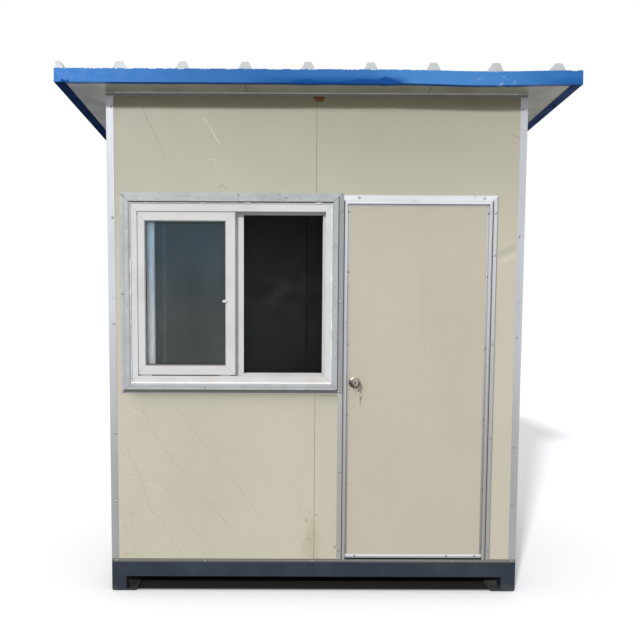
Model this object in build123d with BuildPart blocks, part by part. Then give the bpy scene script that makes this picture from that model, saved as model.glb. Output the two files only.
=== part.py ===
from build123d import *
import os
from math import cos, radians, sin, tan

# Security guard booth: a welded steel base on four legs, a cabin of steel-skinned foam
# panels held in aluminium tracks and corner angles, a sliding plastic window, a door that
# opens inward, and a ribbed panel roof with folded edge flashings.
# Millimetres. X to the right as seen from the front, Y to the rear, Z up.
# The origin is on the ground, at the middle of the booth.

# ---- Cabin ----
booth_width = 2300
booth_depth = 1500
eaves_height = 2782          # top of the front track above the ground
roof_fall = 3.0              # degrees, down to the rear
panel_thickness = 50
side_panel_width = 1150      # front panel of each side wall
seam_chamfer = 2.5

# ---- Steel base ----
base_height = 167
foot_plate_size = 140
foot_plate_thickness = 8
foot_plate_corner = 12
leg_size = 80
leg_wall = 4
channel_height = 85
channel_flange = 45
channel_wall = 5
channel_bend = 4
joist_count = 3
joist_width = 50
joist_wall = 3
board_thickness = 18

# ---- Aluminium tracks and corner angles ----
track_wall = 2
track_flange = 20
angle_leg = 40
angle_wall = 2
inner_angle_leg = 25
inner_angle_wall = 1.5

# ---- Window ----
window_from_left = 123       # plastic frame to the booth's left side
window_to_door = 76          # plastic frame to the door's edge
window_height = 999
window_sill = 1190           # underside of the frame above the ground
frame_fit = 0.3              # frame inside its aluminium lining
frame_depth = 80
frame_setback = 4            # frame's front behind the wall's face
frame_base = 19
frame_lip = 4                # thickness of each upstanding lip
frame_front_lip_height = 36
frame_lip_height = 48
frame_head_extra = 9         # the head stands this much taller than the jambs
frame_sill_extra = 6         # and the sill this much
rail_width = 2
rail_height = 24
sash_overlap = 42            # of the two sashes' stiles when shut
sash_face = 56
sash_thickness = 28
sash_top_gap = 44            # sash below the frame's top
sash_bottom_gap = 48         # sash above the frame's underside
outer_sash_from_left = 25    # sash to the frame's left side
inner_sash_shift = 45
roller_length = 60
roller_width = 14
roller_clearance = 0.3
glazing_depth = 8
glazing_bevel = 6
glazing_land = 1
glass_thickness = 5
glass_clearance = 0.3
latch_width = 24
latch_height = 16
latch_thickness = 9
latch_corner = 5
latch_edge = 2
latch_over_glass = 14
latch_centre_height = 1650

# ---- Aluminium trim round the openings ----
trim_wall = 2
trim_flange = 29             # beside the door
trim_free_flange = 21        # on the other three sides
trim_bead = 34
bead_proud = 8
bead_edge = 1.5
bead_bevel = 9               # inner edge of the window's bead
bead_bevel_depth = 7
inside_flange = 25
trim_fit = 0.3

# ---- Door ----
door_width = 800
door_height = 2005
door_from_right = 185        # door's hinge edge to the booth's right side
door_floor_gap = 6
door_side_gap = 7
door_hinge_gap = 5
door_head_gap = 5
door_stop_gap = 5
seam_to_door = 165           # front wall's seam to the door's edge
jamb_lip = 16
jamb_bead = 12
jamb_groove = 5
jamb_flange = 30
jamb_flange_proud = 2
edging_wall = 1.5
edging_flange = 22

# ---- Hinges ----
hinge_count = 3
hinge_height = 100
hinge_end_distance = 160
hinge_leaf_width = 28
hinge_leaf_thickness = 2.5
knuckle_radius = 6
knuckle_offset = 7           # hinge axis off the door's inner face
pin_radius = 3
pin_clearance = 0.3
knuckle_count = 3
knuckle_gap = 0.4
leaf_gap = 1                 # hinge leaf clear of the other half's knuckles

# ---- Lock ----
lock_height = 1200
lock_backset = 56
rose_radius = 32.5
rose_thickness = 9
rose_edge = 3
rose_dome = 1.5
neck_radius = 13
neck_length = 20
knob_radius = 26.5
knob_length = 62
knob_waist = 43              # widest place from the door's face
knob_face_radius = 15
spindle_radius = 8
lock_clearance = 0.3
key_thickness = 2.2
key_bow_width = 22
key_bow_height = 26
key_bow_corner = 7
key_bow_lap = 1              # bow over the shank's end
key_shank_width = 9
key_shank_length = 9

# ---- Roof ----
roof_thickness = 70
eaves_overhang = 150
verge_overhang = 233
rib_count = 9
first_rib_from_verge = 12    # centre of the leftmost rib to the roof's left edge
last_rib_from_verge = 122
rib_height = 42
rib_base = 78
rib_top = 36
left_panel_rib_count = 3     # whole rib spacings on each panel but the last
middle_panel_rib_count = 3
flashing_wall = 1.2
fascia_upstand = 1
fascia_standoff = 12         # space between the eaves flashings and the panels' cut ends
fascia_hem = 27
verge_return = 58
verge_lip = 25

# ---- Planes worked out from the sizes above ----
left_x = -booth_width / 2
right_x = booth_width / 2
front_y = -booth_depth / 2
rear_y = booth_depth / 2
wall_left = left_x + track_wall
wall_right = right_x - track_wall
wall_front = front_y + track_wall
wall_rear = rear_y - track_wall
front_inside = wall_front + panel_thickness
rear_inside = wall_rear - panel_thickness
left_inside = wall_left + panel_thickness
right_inside = wall_right - panel_thickness
track_width = panel_thickness + 2 * track_wall
track_top = base_height + track_flange
panel_foot = base_height + track_wall
fall = radians(roof_fall)
eaves_plane = Plane(origin=(0, front_y, eaves_height), x_dir=(1, 0, 0), z_dir=(0, sin(fall), cos(fall)))
panel_head_plane = eaves_plane.offset(-track_wall)
flange_foot_plane = Plane(origin=(0, front_y, eaves_height - track_flange), x_dir=(1, 0, 0),
                          z_dir=eaves_plane.z_dir)

door_right = right_x - door_from_right
door_left = door_right - door_width
door_foot = track_top + door_floor_gap
door_top = door_foot + door_height
reveal_left = door_left - door_side_gap
reveal_right = door_right + door_hinge_gap
reveal_head = door_top + door_head_gap
door_front = wall_front + door_stop_gap
door_back = front_inside + trim_wall
seam_x = door_left - seam_to_door

window_left = left_x + window_from_left
window_right = door_left - window_to_door
window_head = window_sill + window_height
window_width = window_right - window_left
frame_front = wall_front + frame_setback
lining_reach = frame_fit + trim_wall


# ---- Shapes used more than once ----
def rectangle_between(low, high, mode=Mode.ADD):
    """A rectangle from one corner to the opposite one, in the sketch being drawn."""
    with Locations(((low[0] + high[0]) / 2, (low[1] + high[1]) / 2)):
        Rectangle(high[0] - low[0], high[1] - low[1], mode=mode)


def outline(points):
    """A face with straight edges through the points, in the sketch being drawn."""
    with BuildLine() as border:
        Polyline(*points, close=True)
    make_face(border.edges())


def eaves_at(y):
    """Height of the top of the tracks at a distance from the middle."""
    return eaves_height - (y - front_y) * tan(fall)


def wall_panel(left, right, front, back, head=None):
    """A standing wall panel. Without a head it is cut to the roof's fall."""
    with BuildPart() as panel:
        with BuildSketch(Plane.XY.offset(panel_foot)):
            rectangle_between((left, front), (right, back))
        extrude(amount=(head or eaves_height) - panel_foot)
        if head is None:
            split(bisect_by=panel_head_plane, keep=Keep.BOTTOM)
    return panel


def ring(points, left, right, bottom, top, y):
    """A profile with mitred corners round an upright rectangle. Profile points are
    (towards the rear, towards the middle of the rectangle)."""
    start = (left + right) / 2
    with BuildPart() as member:
        with BuildLine(Plane.XZ.offset(-y)) as path:
            Polyline((start, bottom), (right, bottom), (right, top), (left, top), (left, bottom),
                     (start, bottom))
        with BuildSketch(Plane(origin=(start, y, bottom), x_dir=(0, 1, 0), z_dir=(1, 0, 0))):
            outline(points)
        sweep(path=path.line, transition=Transition.RIGHT)
    return member


def finish(builder, name):
    """Name a finished piece and write it."""
    builder.part.label = name
    export_step(builder.part, f"parts/{name}.step")


os.makedirs("parts", exist_ok=True)

# ---- Corner legs: square tube on a foot plate that reaches inward ----
leg_centre_x = right_x - leg_size / 2
leg_centre_y = rear_y - leg_size / 2
plate_centre_x = right_x - foot_plate_size / 2
plate_centre_y = rear_y - foot_plate_size / 2
with BuildPart() as corner_legs:
    with BuildSketch():
        with GridLocations(2 * plate_centre_x, 2 * plate_centre_y, 2, 2):
            RectangleRounded(foot_plate_size, foot_plate_size, foot_plate_corner)
    extrude(amount=foot_plate_thickness)
    with BuildSketch(Plane.XY.offset(foot_plate_thickness)):
        with GridLocations(2 * leg_centre_x, 2 * leg_centre_y, 2, 2):
            Rectangle(leg_size, leg_size)
            Rectangle(leg_size - 2 * leg_wall, leg_size - 2 * leg_wall, mode=Mode.SUBTRACT)
    extrude(amount=base_height - foot_plate_thickness)
finish(corner_legs, "corner_legs")

# ---- Base channels: folded sections between the legs, backs outward ----
channel_profile = [
    (0, 0),
    (channel_flange, 0),
    (channel_flange, channel_wall),
    (channel_wall, channel_wall),
    (channel_wall, channel_height - channel_wall),
    (channel_flange, channel_height - channel_wall),
    (channel_flange, channel_height),
    (0, channel_height),
]
channel_foot = base_height - channel_height
leg_inner_x = right_x - leg_size
leg_inner_y = rear_y - leg_size


def base_channel(origin, inward, along, length):
    """One channel from its starting corner, with its flanges pointing inward."""
    with BuildPart() as channel:
        with BuildSketch(Plane(origin=origin, x_dir=inward, z_dir=along)) as section:
            outline(channel_profile)
            fillet(section.vertices().group_by(Axis.X)[0], channel_bend)
        extrude(amount=length)
    return channel


with BuildPart() as base_channels:
    add(base_channel((-leg_inner_x, front_y, channel_foot), (0, 1, 0), (1, 0, 0), 2 * leg_inner_x).part)
    add(base_channel((left_x, leg_inner_y, channel_foot), (1, 0, 0), (0, -1, 0), 2 * leg_inner_y).part)
    mirror(about=Plane.XZ)
    mirror(about=Plane.YZ)
finish(base_channels, "base_channels")

# ---- Floor joists: tubes between the flanges of the front and rear channels ----
joist_length = booth_depth - 2 * channel_flange
joist_pitch = 2 * leg_inner_x / (joist_count + 1)
with BuildPart() as floor_joists:
    with BuildSketch(Plane.XZ.offset(-joist_length / 2)):
        with Locations((0, base_height - channel_height / 2)):
            with GridLocations(joist_pitch, joist_pitch, joist_count, 1):
                Rectangle(joist_width, channel_height)
                Rectangle(joist_width - 2 * joist_wall, channel_height - 2 * joist_wall,
                          mode=Mode.SUBTRACT)
    extrude(amount=joist_length)
finish(floor_joists, "floor_joists")

# ---- Floor board between the bottom tracks ----
board_reach_x = booth_width / 2 - track_width
board_reach_y = booth_depth / 2 - track_width
with BuildPart() as floor_board:
    with BuildSketch(Plane.XY.offset(base_height)):
        Rectangle(2 * board_reach_x, 2 * board_reach_y)
    extrude(amount=board_thickness)
finish(floor_board, "floor_board")

# ---- Bottom tracks: aluminium channels, open upward, the front one running under the door ----
track_profile = [
    (0, 0),
    (track_width, 0),
    (track_width, track_flange),
    (track_width - track_wall, track_flange),
    (track_width - track_wall, track_wall),
    (track_wall, track_wall),
    (track_wall, track_flange),
    (0, track_flange),
]


def bottom_track(origin, inward, along, length):
    """One bottom track from its starting corner, measured inward from the booth's side."""
    with BuildPart() as track:
        with BuildSketch(Plane(origin=origin, x_dir=inward, z_dir=along)):
            outline(track_profile)
        extrude(amount=length)
    return track


bottom_track_front = bottom_track((left_x, front_y, base_height), (0, 1, 0), (1, 0, 0), booth_width)
finish(bottom_track_front, "bottom_track_front")
bottom_track_rear = bottom_track((right_x, rear_y, base_height), (0, -1, 0), (-1, 0, 0), booth_width)
finish(bottom_track_rear, "bottom_track_rear")
side_track_start = (left_x, board_reach_y, base_height)
with BuildPart() as bottom_tracks_side:
    add(bottom_track(side_track_start, (1, 0, 0), (0, -1, 0), 2 * board_reach_y).part)
    mirror(about=Plane.YZ)
finish(bottom_tracks_side, "bottom_tracks_side")

# ---- Top tracks: the same channel open downward, with its web along the roof's fall ----


def top_track_profile(outside_y, inside_y):
    """Section of a front or rear top track, in (Y, Z), leaning with the roof's fall."""
    into = track_wall if inside_y > outside_y else -track_wall
    corners = [
        (outside_y, 0),
        (inside_y, 0),
        (inside_y, track_flange),
        (inside_y - into, track_flange),
        (inside_y - into, track_wall),
        (outside_y + into, track_wall),
        (outside_y + into, track_flange),
        (outside_y, track_flange),
    ]
    return [(y, eaves_at(y) - drop) for y, drop in corners]


with BuildPart() as top_track_front:
    with BuildSketch(Plane.YZ.offset(left_x)):
        outline(top_track_profile(front_y, front_y + track_width))
    extrude(amount=booth_width)
finish(top_track_front, "top_track_front")

with BuildPart() as top_track_rear:
    with BuildSketch(Plane.YZ.offset(left_x)):
        outline(top_track_profile(rear_y, rear_y - track_width))
    extrude(amount=booth_width)
finish(top_track_rear, "top_track_rear")


def sloping_band(drop_top, drop_foot):
    """Side outline of a strip along the eaves, in (Y, Z), between two drops below them."""
    ends = (-board_reach_y, board_reach_y)
    return [
        (ends[0], eaves_at(ends[0]) - drop_top),
        (ends[1], eaves_at(ends[1]) - drop_top),
        (ends[1], eaves_at(ends[1]) - drop_foot),
        (ends[0], eaves_at(ends[0]) - drop_foot),
    ]


with BuildPart() as top_tracks_side:
    with BuildSketch(Plane.YZ.offset(left_x)):
        outline(sloping_band(0, track_flange))
    extrude(amount=track_width)
    with BuildSketch(Plane.YZ.offset(wall_left)):
        outline(sloping_band(track_wall, 2 * track_flange))
    extrude(amount=panel_thickness, mode=Mode.SUBTRACT)
    mirror(about=Plane.YZ)
finish(top_tracks_side, "top_tracks_side")

# ---- Corner angles, outside and inside, between the tracks ----


def corner_posts(reach_x, reach_y, leg, wall):
    """Four upright angles whose backs stand at the given distances from the middle."""
    legs = [(0, 0), (leg, 0), (leg, wall), (wall, wall), (wall, leg), (0, leg)]
    with BuildPart() as posts:
        with BuildSketch(Plane.XY.offset(track_top)):
            outline([(x - reach_x, y - reach_y) for x, y in legs])
            mirror(about=Plane.YZ)
            mirror(about=Plane.XZ)
        extrude(amount=eaves_height - track_top)
        split(bisect_by=flange_foot_plane, keep=Keep.BOTTOM)
    return posts


corner_angles = corner_posts(right_x, rear_y, angle_leg, angle_wall)
finish(corner_angles, "corner_angles")
inner_corner_angles = corner_posts(right_inside, rear_inside, inner_angle_leg, inner_angle_wall)
finish(inner_corner_angles, "inner_corner_angles")

# ---- Front wall: two panels cut for the window and the door ----
opening_left = window_left - lining_reach
opening_right = window_right + lining_reach
opening_foot = window_sill - lining_reach
opening_head = window_head + lining_reach
doorway_left = reveal_left - trim_wall
doorway_right = reveal_right + trim_wall
doorway_head = reveal_head + trim_wall


def seam_edges(panel, seam, axis):
    """The upright edges of a panel that lie on a seam."""
    edges = panel.edges().filter_by(Axis.Z)
    return edges.filter_by_position(axis, seam, seam)


with BuildPart() as front_wall_left_panel:
    with BuildSketch(Plane.XZ.offset(-front_inside)):
        rectangle_between((wall_left, panel_foot), (seam_x, eaves_height))
        rectangle_between((opening_left, opening_foot), (seam_x, opening_head), mode=Mode.SUBTRACT)
    extrude(amount=panel_thickness)
    split(bisect_by=panel_head_plane, keep=Keep.BOTTOM)
    chamfer(seam_edges(front_wall_left_panel, seam_x, Axis.X), seam_chamfer)
finish(front_wall_left_panel, "front_wall_left_panel")

with BuildPart() as front_wall_pier:
    with BuildSketch(Plane.XZ.offset(-front_inside)):
        rectangle_between((seam_x, panel_foot), (doorway_left, opening_head))
        rectangle_between((seam_x, opening_foot), (opening_right, opening_head), mode=Mode.SUBTRACT)
    extrude(amount=panel_thickness)
    chamfer(seam_edges(front_wall_pier, seam_x, Axis.X), seam_chamfer)
finish(front_wall_pier, "front_wall_pier")

with BuildPart() as front_wall_header:
    with BuildSketch(Plane.XZ.offset(-front_inside)):
        rectangle_between((seam_x, opening_head), (wall_right, eaves_height))
        rectangle_between((doorway_left, opening_head), (doorway_right, doorway_head),
                          mode=Mode.SUBTRACT)
    extrude(amount=panel_thickness)
    split(bisect_by=panel_head_plane, keep=Keep.BOTTOM)
    chamfer(seam_edges(front_wall_header, seam_x, Axis.X), seam_chamfer)
finish(front_wall_header, "front_wall_header")

front_wall_door_strip = wall_panel(doorway_right, wall_right, wall_front, front_inside, opening_head)
finish(front_wall_door_strip, "front_wall_door_strip")

# ---- Side walls: one full panel from the front corner and a cut one behind it ----
side_seam = -board_reach_y + side_panel_width
side_walls = {
    "left_wall": (wall_left, left_inside),
    "right_wall": (right_inside, wall_right),
}
for wall_name, (outer_x, inner_x) in side_walls.items():
    front_panel = wall_panel(outer_x, inner_x, -board_reach_y, side_seam)
    rear_panel = wall_panel(outer_x, inner_x, side_seam, board_reach_y)
    for panel, panel_name in ((front_panel, "front_panel"), (rear_panel, "rear_panel")):
        with panel:
            chamfer(seam_edges(panel, side_seam, Axis.Y), seam_chamfer)
        finish(panel, f"{wall_name}_{panel_name}")

# ---- Rear wall: two full panels meeting at the middle ----
rear_walls = {
    "rear_wall_left_panel": (wall_left, 0),
    "rear_wall_right_panel": (0, wall_right),
}
for wall_name, (left, right) in rear_walls.items():
    panel = wall_panel(left, right, rear_inside, wall_rear)
    with panel:
        chamfer(seam_edges(panel, 0, Axis.X), seam_chamfer)
    finish(panel, wall_name)

# ---- Aluminium trim: lines the window opening and grips the wall on both faces ----
bead_front = front_y - bead_proud
trim_profile = [
    (bead_front + bead_bevel_depth, 0),
    (front_inside + trim_wall, 0),
    (front_inside + trim_wall, -inside_flange),
    (front_inside, -inside_flange),
    (front_inside, -trim_wall),
    (wall_front, -trim_wall),
    (wall_front, -trim_bead - trim_flange),
    (front_y, -trim_bead - trim_flange),
    (front_y, -trim_bead),
    (bead_front + bead_edge, -trim_bead),
    (bead_front, -trim_bead + bead_edge),
    (bead_front, -bead_bevel),
]
trim_reach = frame_fit + trim_bead + trim_flange
trim_free_reach = frame_fit + trim_bead + trim_free_flange
with BuildPart() as window_trim:
    add(ring(trim_profile, window_left - frame_fit, window_right + frame_fit,
             window_sill - frame_fit, window_head + frame_fit, 0).part)
    with BuildSketch(Plane.XZ.offset(-bead_front)):
        rectangle_between((window_left - trim_free_reach, window_sill - trim_free_reach),
                          (window_right + trim_reach, window_head + trim_free_reach))
    extrude(amount=bead_front - front_inside - trim_wall, mode=Mode.INTERSECT)
finish(window_trim, "window_trim")

# ---- Window frame: plastic section with two sash tracks between three lips ----
middle_lip = (frame_depth - frame_lip) / 2
track_space = middle_lip - frame_lip
outer_rail = frame_lip + (track_space - rail_width) / 2
inner_rail = middle_lip + frame_lip + (track_space - rail_width) / 2
rear_lip = frame_depth - frame_lip
frame_profile = [
    (0, 0),
    (frame_depth, 0),
    (frame_depth, frame_lip_height),
    (rear_lip, frame_lip_height),
    (rear_lip, frame_base),
    (inner_rail + rail_width, frame_base),
    (inner_rail + rail_width, rail_height - roller_clearance),
    (inner_rail, rail_height - roller_clearance),
    (inner_rail, frame_base),
    (middle_lip + frame_lip, frame_base),
    (middle_lip + frame_lip, frame_lip_height),
    (middle_lip, frame_lip_height),
    (middle_lip, frame_base),
    (outer_rail + rail_width, frame_base),
    (outer_rail + rail_width, rail_height - roller_clearance),
    (outer_rail, rail_height - roller_clearance),
    (outer_rail, frame_base),
    (frame_lip, frame_base),
    (frame_lip, frame_front_lip_height),
    (0, frame_front_lip_height),
]
ring_head = window_head - frame_head_extra
ring_sill = window_sill + frame_sill_extra
with BuildPart() as window_frame:
    add(ring(frame_profile, window_left, window_right, ring_sill, ring_head, frame_front).part)
    with BuildSketch(Plane.XZ.offset(-frame_front)):
        rectangle_between((window_left, ring_head), (window_right, window_head))
        rectangle_between((window_left, window_sill), (window_right, ring_sill))
    extrude(amount=-frame_depth)
finish(window_frame, "window_frame")

# ---- Sashes: mitred plastic sections with a glazing groove, on rollers over the rails ----
groove_width = glass_thickness + 2 * glass_clearance
groove_front = (sash_thickness - groove_width) / 2
groove_rear = groove_front + groove_width
sash_profile = [
    (0, 0),
    (sash_thickness, 0),
    (sash_thickness, sash_face - glazing_bevel),
    (groove_rear + glazing_land, sash_face),
    (groove_rear, sash_face),
    (groove_rear, sash_face - glazing_depth),
    (groove_front, sash_face - glazing_depth),
    (groove_front, sash_face),
    (groove_front - glazing_land, sash_face),
    (0, sash_face - glazing_bevel),
]
sash_width = window_width / 2 - outer_sash_from_left + sash_overlap / 2
roller_spacing = sash_width - 2 * sash_face
sash_foot = window_sill + sash_bottom_gap
sash_head = window_head - sash_top_gap
rail_top = ring_sill + rail_height


def sliding_sash(left, front):
    """One sash with its two rollers, fused to the bottom rail that holds them."""
    with BuildPart() as sash:
        add(ring(sash_profile, left, left + sash_width, sash_foot, sash_head, front).part)
        with BuildSketch(Plane.XY.offset(rail_top)):
            with Locations((left + sash_width / 2, front + sash_thickness / 2)):
                with GridLocations(roller_spacing, roller_spacing, 2, 1):
                    Rectangle(roller_length, roller_width)
        extrude(amount=sash_foot - rail_top)
    return sash


def sash_glass(left, front):
    """The pane of one sash, held in its glazing groove."""
    edge = sash_face - glazing_depth + glass_clearance
    with BuildPart() as pane:
        with BuildSketch(Plane.XZ.offset(-front - groove_rear + glass_clearance)):
            rectangle_between((left + edge, sash_foot + edge),
                              (left + sash_width - edge, sash_head - edge))
        extrude(amount=glass_thickness)
    return pane


outer_sash_left = window_left + outer_sash_from_left
inner_sash_left = outer_sash_left + inner_sash_shift
sash_inset = (track_space - sash_thickness) / 2
outer_sash_front = frame_front + frame_lip + sash_inset
inner_sash_front = frame_front + middle_lip + frame_lip + sash_inset
outer_sash = sliding_sash(outer_sash_left, outer_sash_front)
finish(outer_sash, "outer_sash")
inner_sash = sliding_sash(inner_sash_left, inner_sash_front)
finish(inner_sash, "inner_sash")
with BuildPart() as window_glass:
    add(sash_glass(outer_sash_left, outer_sash_front).part)
    add(sash_glass(inner_sash_left, inner_sash_front).part)
finish(window_glass, "window_glass")

# ---- Window catch: a small pull on the outer sash's inner stile ----
stile_edge = outer_sash_left + sash_width - sash_face
latch_centre_x = stile_edge - latch_over_glass + latch_width / 2
with BuildPart() as window_latch:
    with BuildSketch(Plane.XZ.offset(-outer_sash_front)):
        with Locations((latch_centre_x, latch_centre_height)):
            RectangleRounded(latch_width, latch_height, latch_corner)
    extrude(amount=latch_thickness)
    fillet(window_latch.faces().sort_by(Axis.Y)[0].edges(), latch_edge)
finish(window_latch, "window_latch")

# ---- Door frame: one section round the doorway, mitred at the head, its flange cut back
# beside the window for the window's own trim ----
groove_inner = jamb_bead - jamb_lip
groove_outer = groove_inner + jamb_groove
jamb_outer = groove_outer + jamb_flange
flange_front = front_y - jamb_flange_proud
jamb_profile = [
    (bead_front + bead_edge, -jamb_lip),
    (wall_front, -jamb_lip),
    (wall_front, 0),
    (door_back, 0),
    (door_back, inside_flange),
    (front_inside, inside_flange),
    (front_inside, trim_wall),
    (wall_front, trim_wall),
    (wall_front, jamb_outer),
    (flange_front, jamb_outer),
    (flange_front, groove_outer),
    (front_y, groove_outer),
    (front_y, groove_inner),
    (bead_front + bead_edge, groove_inner),
    (bead_front, groove_inner - bead_edge),
    (bead_front, bead_edge - jamb_lip),
]
with BuildPart() as door_frame:
    with BuildLine(Plane.XZ) as doorway_line:
        Polyline((reveal_left, track_top), (reveal_left, reveal_head), (reveal_right, reveal_head),
                 (reveal_right, track_top))
    with BuildSketch(Plane(origin=(reveal_left, 0, track_top), x_dir=(0, 1, 0), z_dir=(0, 0, 1))):
        outline(jamb_profile)
    sweep(path=doorway_line.line, transition=Transition.RIGHT)
    with BuildSketch(Plane.XZ.offset(-wall_front)):
        rectangle_between((window_left, window_sill - trim_free_reach - trim_fit),
                          (window_right + trim_reach + trim_fit,
                           window_head + trim_free_reach + trim_fit))
    extrude(amount=bead_proud + trim_wall, mode=Mode.SUBTRACT)
left_mitre = Plane(origin=(reveal_left, 0, reveal_head), x_dir=(0, 1, 0), z_dir=(1, 0, 1))
right_mitre = Plane(origin=(reveal_right, 0, reveal_head), x_dir=(0, 1, 0), z_dir=(-1, 0, 1))
with BuildPart() as door_jamb_left:
    add(door_frame.part)
    split(bisect_by=Plane.YZ.offset((reveal_left + reveal_right) / 2), keep=Keep.BOTTOM)
    split(bisect_by=left_mitre, keep=Keep.BOTTOM)
finish(door_jamb_left, "door_jamb_left")
with BuildPart() as door_jamb_right:
    add(door_frame.part)
    split(bisect_by=Plane.YZ.offset((reveal_left + reveal_right) / 2), keep=Keep.TOP)
    split(bisect_by=right_mitre, keep=Keep.BOTTOM)
finish(door_jamb_right, "door_jamb_right")
with BuildPart() as door_head:
    add(door_frame.part)
    split(bisect_by=left_mitre, keep=Keep.TOP)
    split(bisect_by=right_mitre, keep=Keep.TOP)
finish(door_head, "door_head")

# ---- Door leaf: a panel inside a ring of aluminium edging ----
lock_x = door_left + lock_backset
door_thickness = door_back - door_front
with BuildPart() as door_leaf:
    with BuildSketch(Plane.XZ.offset(-door_back + edging_wall)):
        rectangle_between((door_left + edging_wall, door_foot + edging_wall),
                          (door_right - edging_wall, door_top - edging_wall))
        with Locations((lock_x, lock_height)):
            Circle(spindle_radius + lock_clearance, mode=Mode.SUBTRACT)
    extrude(amount=door_thickness - 2 * edging_wall)
finish(door_leaf, "door_leaf")

edging_profile = [
    (0, 0),
    (door_thickness, 0),
    (door_thickness, edging_flange),
    (door_thickness - edging_wall, edging_flange),
    (door_thickness - edging_wall, edging_wall),
    (edging_wall, edging_wall),
    (edging_wall, edging_flange),
    (0, edging_flange),
]
door_edging = ring(edging_profile, door_left, door_right, door_foot, door_top, door_front)
finish(door_edging, "door_edging")

# ---- Hinges: butt hinges on the inner face, pins standing in the fixed leaves ----
hinge_x = (door_right + reveal_right) / 2
hinge_y = door_back + knuckle_offset
knuckle_height = (hinge_height - (knuckle_count - 1) * knuckle_gap) / knuckle_count
hinge_reach = knuckle_radius + leaf_gap
hinge_spacing = (door_height - 2 * hinge_end_distance) / (hinge_count - 1)
hinge_feet = [door_foot + hinge_end_distance + i * hinge_spacing - hinge_height / 2
              for i in range(hinge_count)]
knuckle_steps = [i * (knuckle_height + knuckle_gap) for i in range(knuckle_count)]


def hinge_half(side, steps, with_pin):
    """The hinge leaves of one side, -1 for the door and 1 for the jamb, with their knuckles."""
    far_edge = hinge_x + side * hinge_leaf_width
    near_edge = hinge_x + side * hinge_reach
    web_edge = hinge_x + side * pin_radius
    with BuildPart() as halves:
        for foot in hinge_feet:
            with BuildSketch(Plane.XY.offset(foot)):
                rectangle_between((min(near_edge, far_edge), door_back),
                                  (max(near_edge, far_edge), door_back + hinge_leaf_thickness))
            extrude(amount=hinge_height)
            for step in steps:
                with BuildSketch(Plane.XY.offset(foot + step)):
                    rectangle_between((min(near_edge, web_edge), door_back),
                                      (max(near_edge, web_edge), door_back + hinge_leaf_thickness))
                    with Locations((hinge_x, hinge_y)):
                        Circle(knuckle_radius)
                        if not with_pin:
                            Circle(pin_radius + pin_clearance, mode=Mode.SUBTRACT)
                extrude(amount=knuckle_height)
            if with_pin:
                with BuildSketch(Plane.XY.offset(foot)):
                    with Locations((hinge_x, hinge_y)):
                        Circle(pin_radius)
                extrude(amount=hinge_height)
    return halves


hinge_jamb_leaves = hinge_half(1, knuckle_steps[0::2], True)
finish(hinge_jamb_leaves, "hinge_jamb_leaves")
hinge_door_leaves = hinge_half(-1, knuckle_steps[1::2], False)
finish(hinge_door_leaves, "hinge_door_leaves")

# ---- Lock: a rose on each face and two knobs on one spindle ----
leaf_outside = door_front + edging_wall
leaf_inside = door_back - edging_wall


def rose(face_y, outward):
    """A domed rose lying on one face of the door, turned about the lock's axis."""
    bore = neck_radius + lock_clearance
    with BuildPart() as plate:
        with BuildSketch(Plane(origin=(lock_x, face_y, lock_height), x_dir=(1, 0, 0),
                               z_dir=(0, 0, outward))):
            with BuildLine() as section:
                Polyline((rose_radius, rose_edge), (rose_radius, 0), (bore, 0), (bore, rose_thickness))
                ThreePointArc((bore, rose_thickness),
                              ((bore + rose_radius) / 2 + rose_edge, rose_thickness - rose_dome),
                              (rose_radius, rose_edge))
            make_face(section.edges())
        revolve(axis=Axis((lock_x, 0, lock_height), (0, 1, 0)))
    return plate


with BuildPart() as lock_roses:
    add(rose(leaf_outside, -1).part)
    add(rose(leaf_inside, 1).part)
finish(lock_roses, "lock_roses")

half_spindle = (leaf_inside - leaf_outside) / 2
with BuildPart() as door_knobs:
    with BuildSketch(Plane(origin=(lock_x, leaf_outside + half_spindle, lock_height),
                           x_dir=(1, 0, 0), z_dir=(0, 0, 1))):
        with BuildLine() as section:
            Polyline((0, -half_spindle - knob_length), (0, 0), (spindle_radius, 0),
                     (spindle_radius, -half_spindle - lock_clearance),
                     (neck_radius, -half_spindle - lock_clearance),
                     (neck_radius, -half_spindle - neck_length))
            ThreePointArc((neck_radius, -half_spindle - neck_length),
                          (knob_radius, -half_spindle - knob_waist),
                          (knob_face_radius, -half_spindle - knob_length))
            Line((knob_face_radius, -half_spindle - knob_length), (0, -half_spindle - knob_length))
        make_face(section.edges())
    revolve(axis=Axis((lock_x, 0, lock_height), (0, 1, 0)))
    mirror(about=Plane.XZ.offset(-leaf_outside - half_spindle))
finish(door_knobs, "door_knobs")

# ---- Key left in the outer knob ----
with BuildPart() as door_key:
    with BuildSketch(Plane(origin=(lock_x, leaf_outside - knob_length, lock_height),
                           x_dir=(0, -1, 0), z_dir=(1, 0, 0))):
        rectangle_between((0, -key_shank_width / 2), (key_shank_length, key_shank_width / 2))
        with Locations((key_shank_length + key_bow_height / 2 - key_bow_lap, 0)):
            RectangleRounded(key_bow_height, key_bow_width, key_bow_corner)
    extrude(amount=key_thickness / 2, both=True)
finish(door_key, "door_key")

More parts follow.
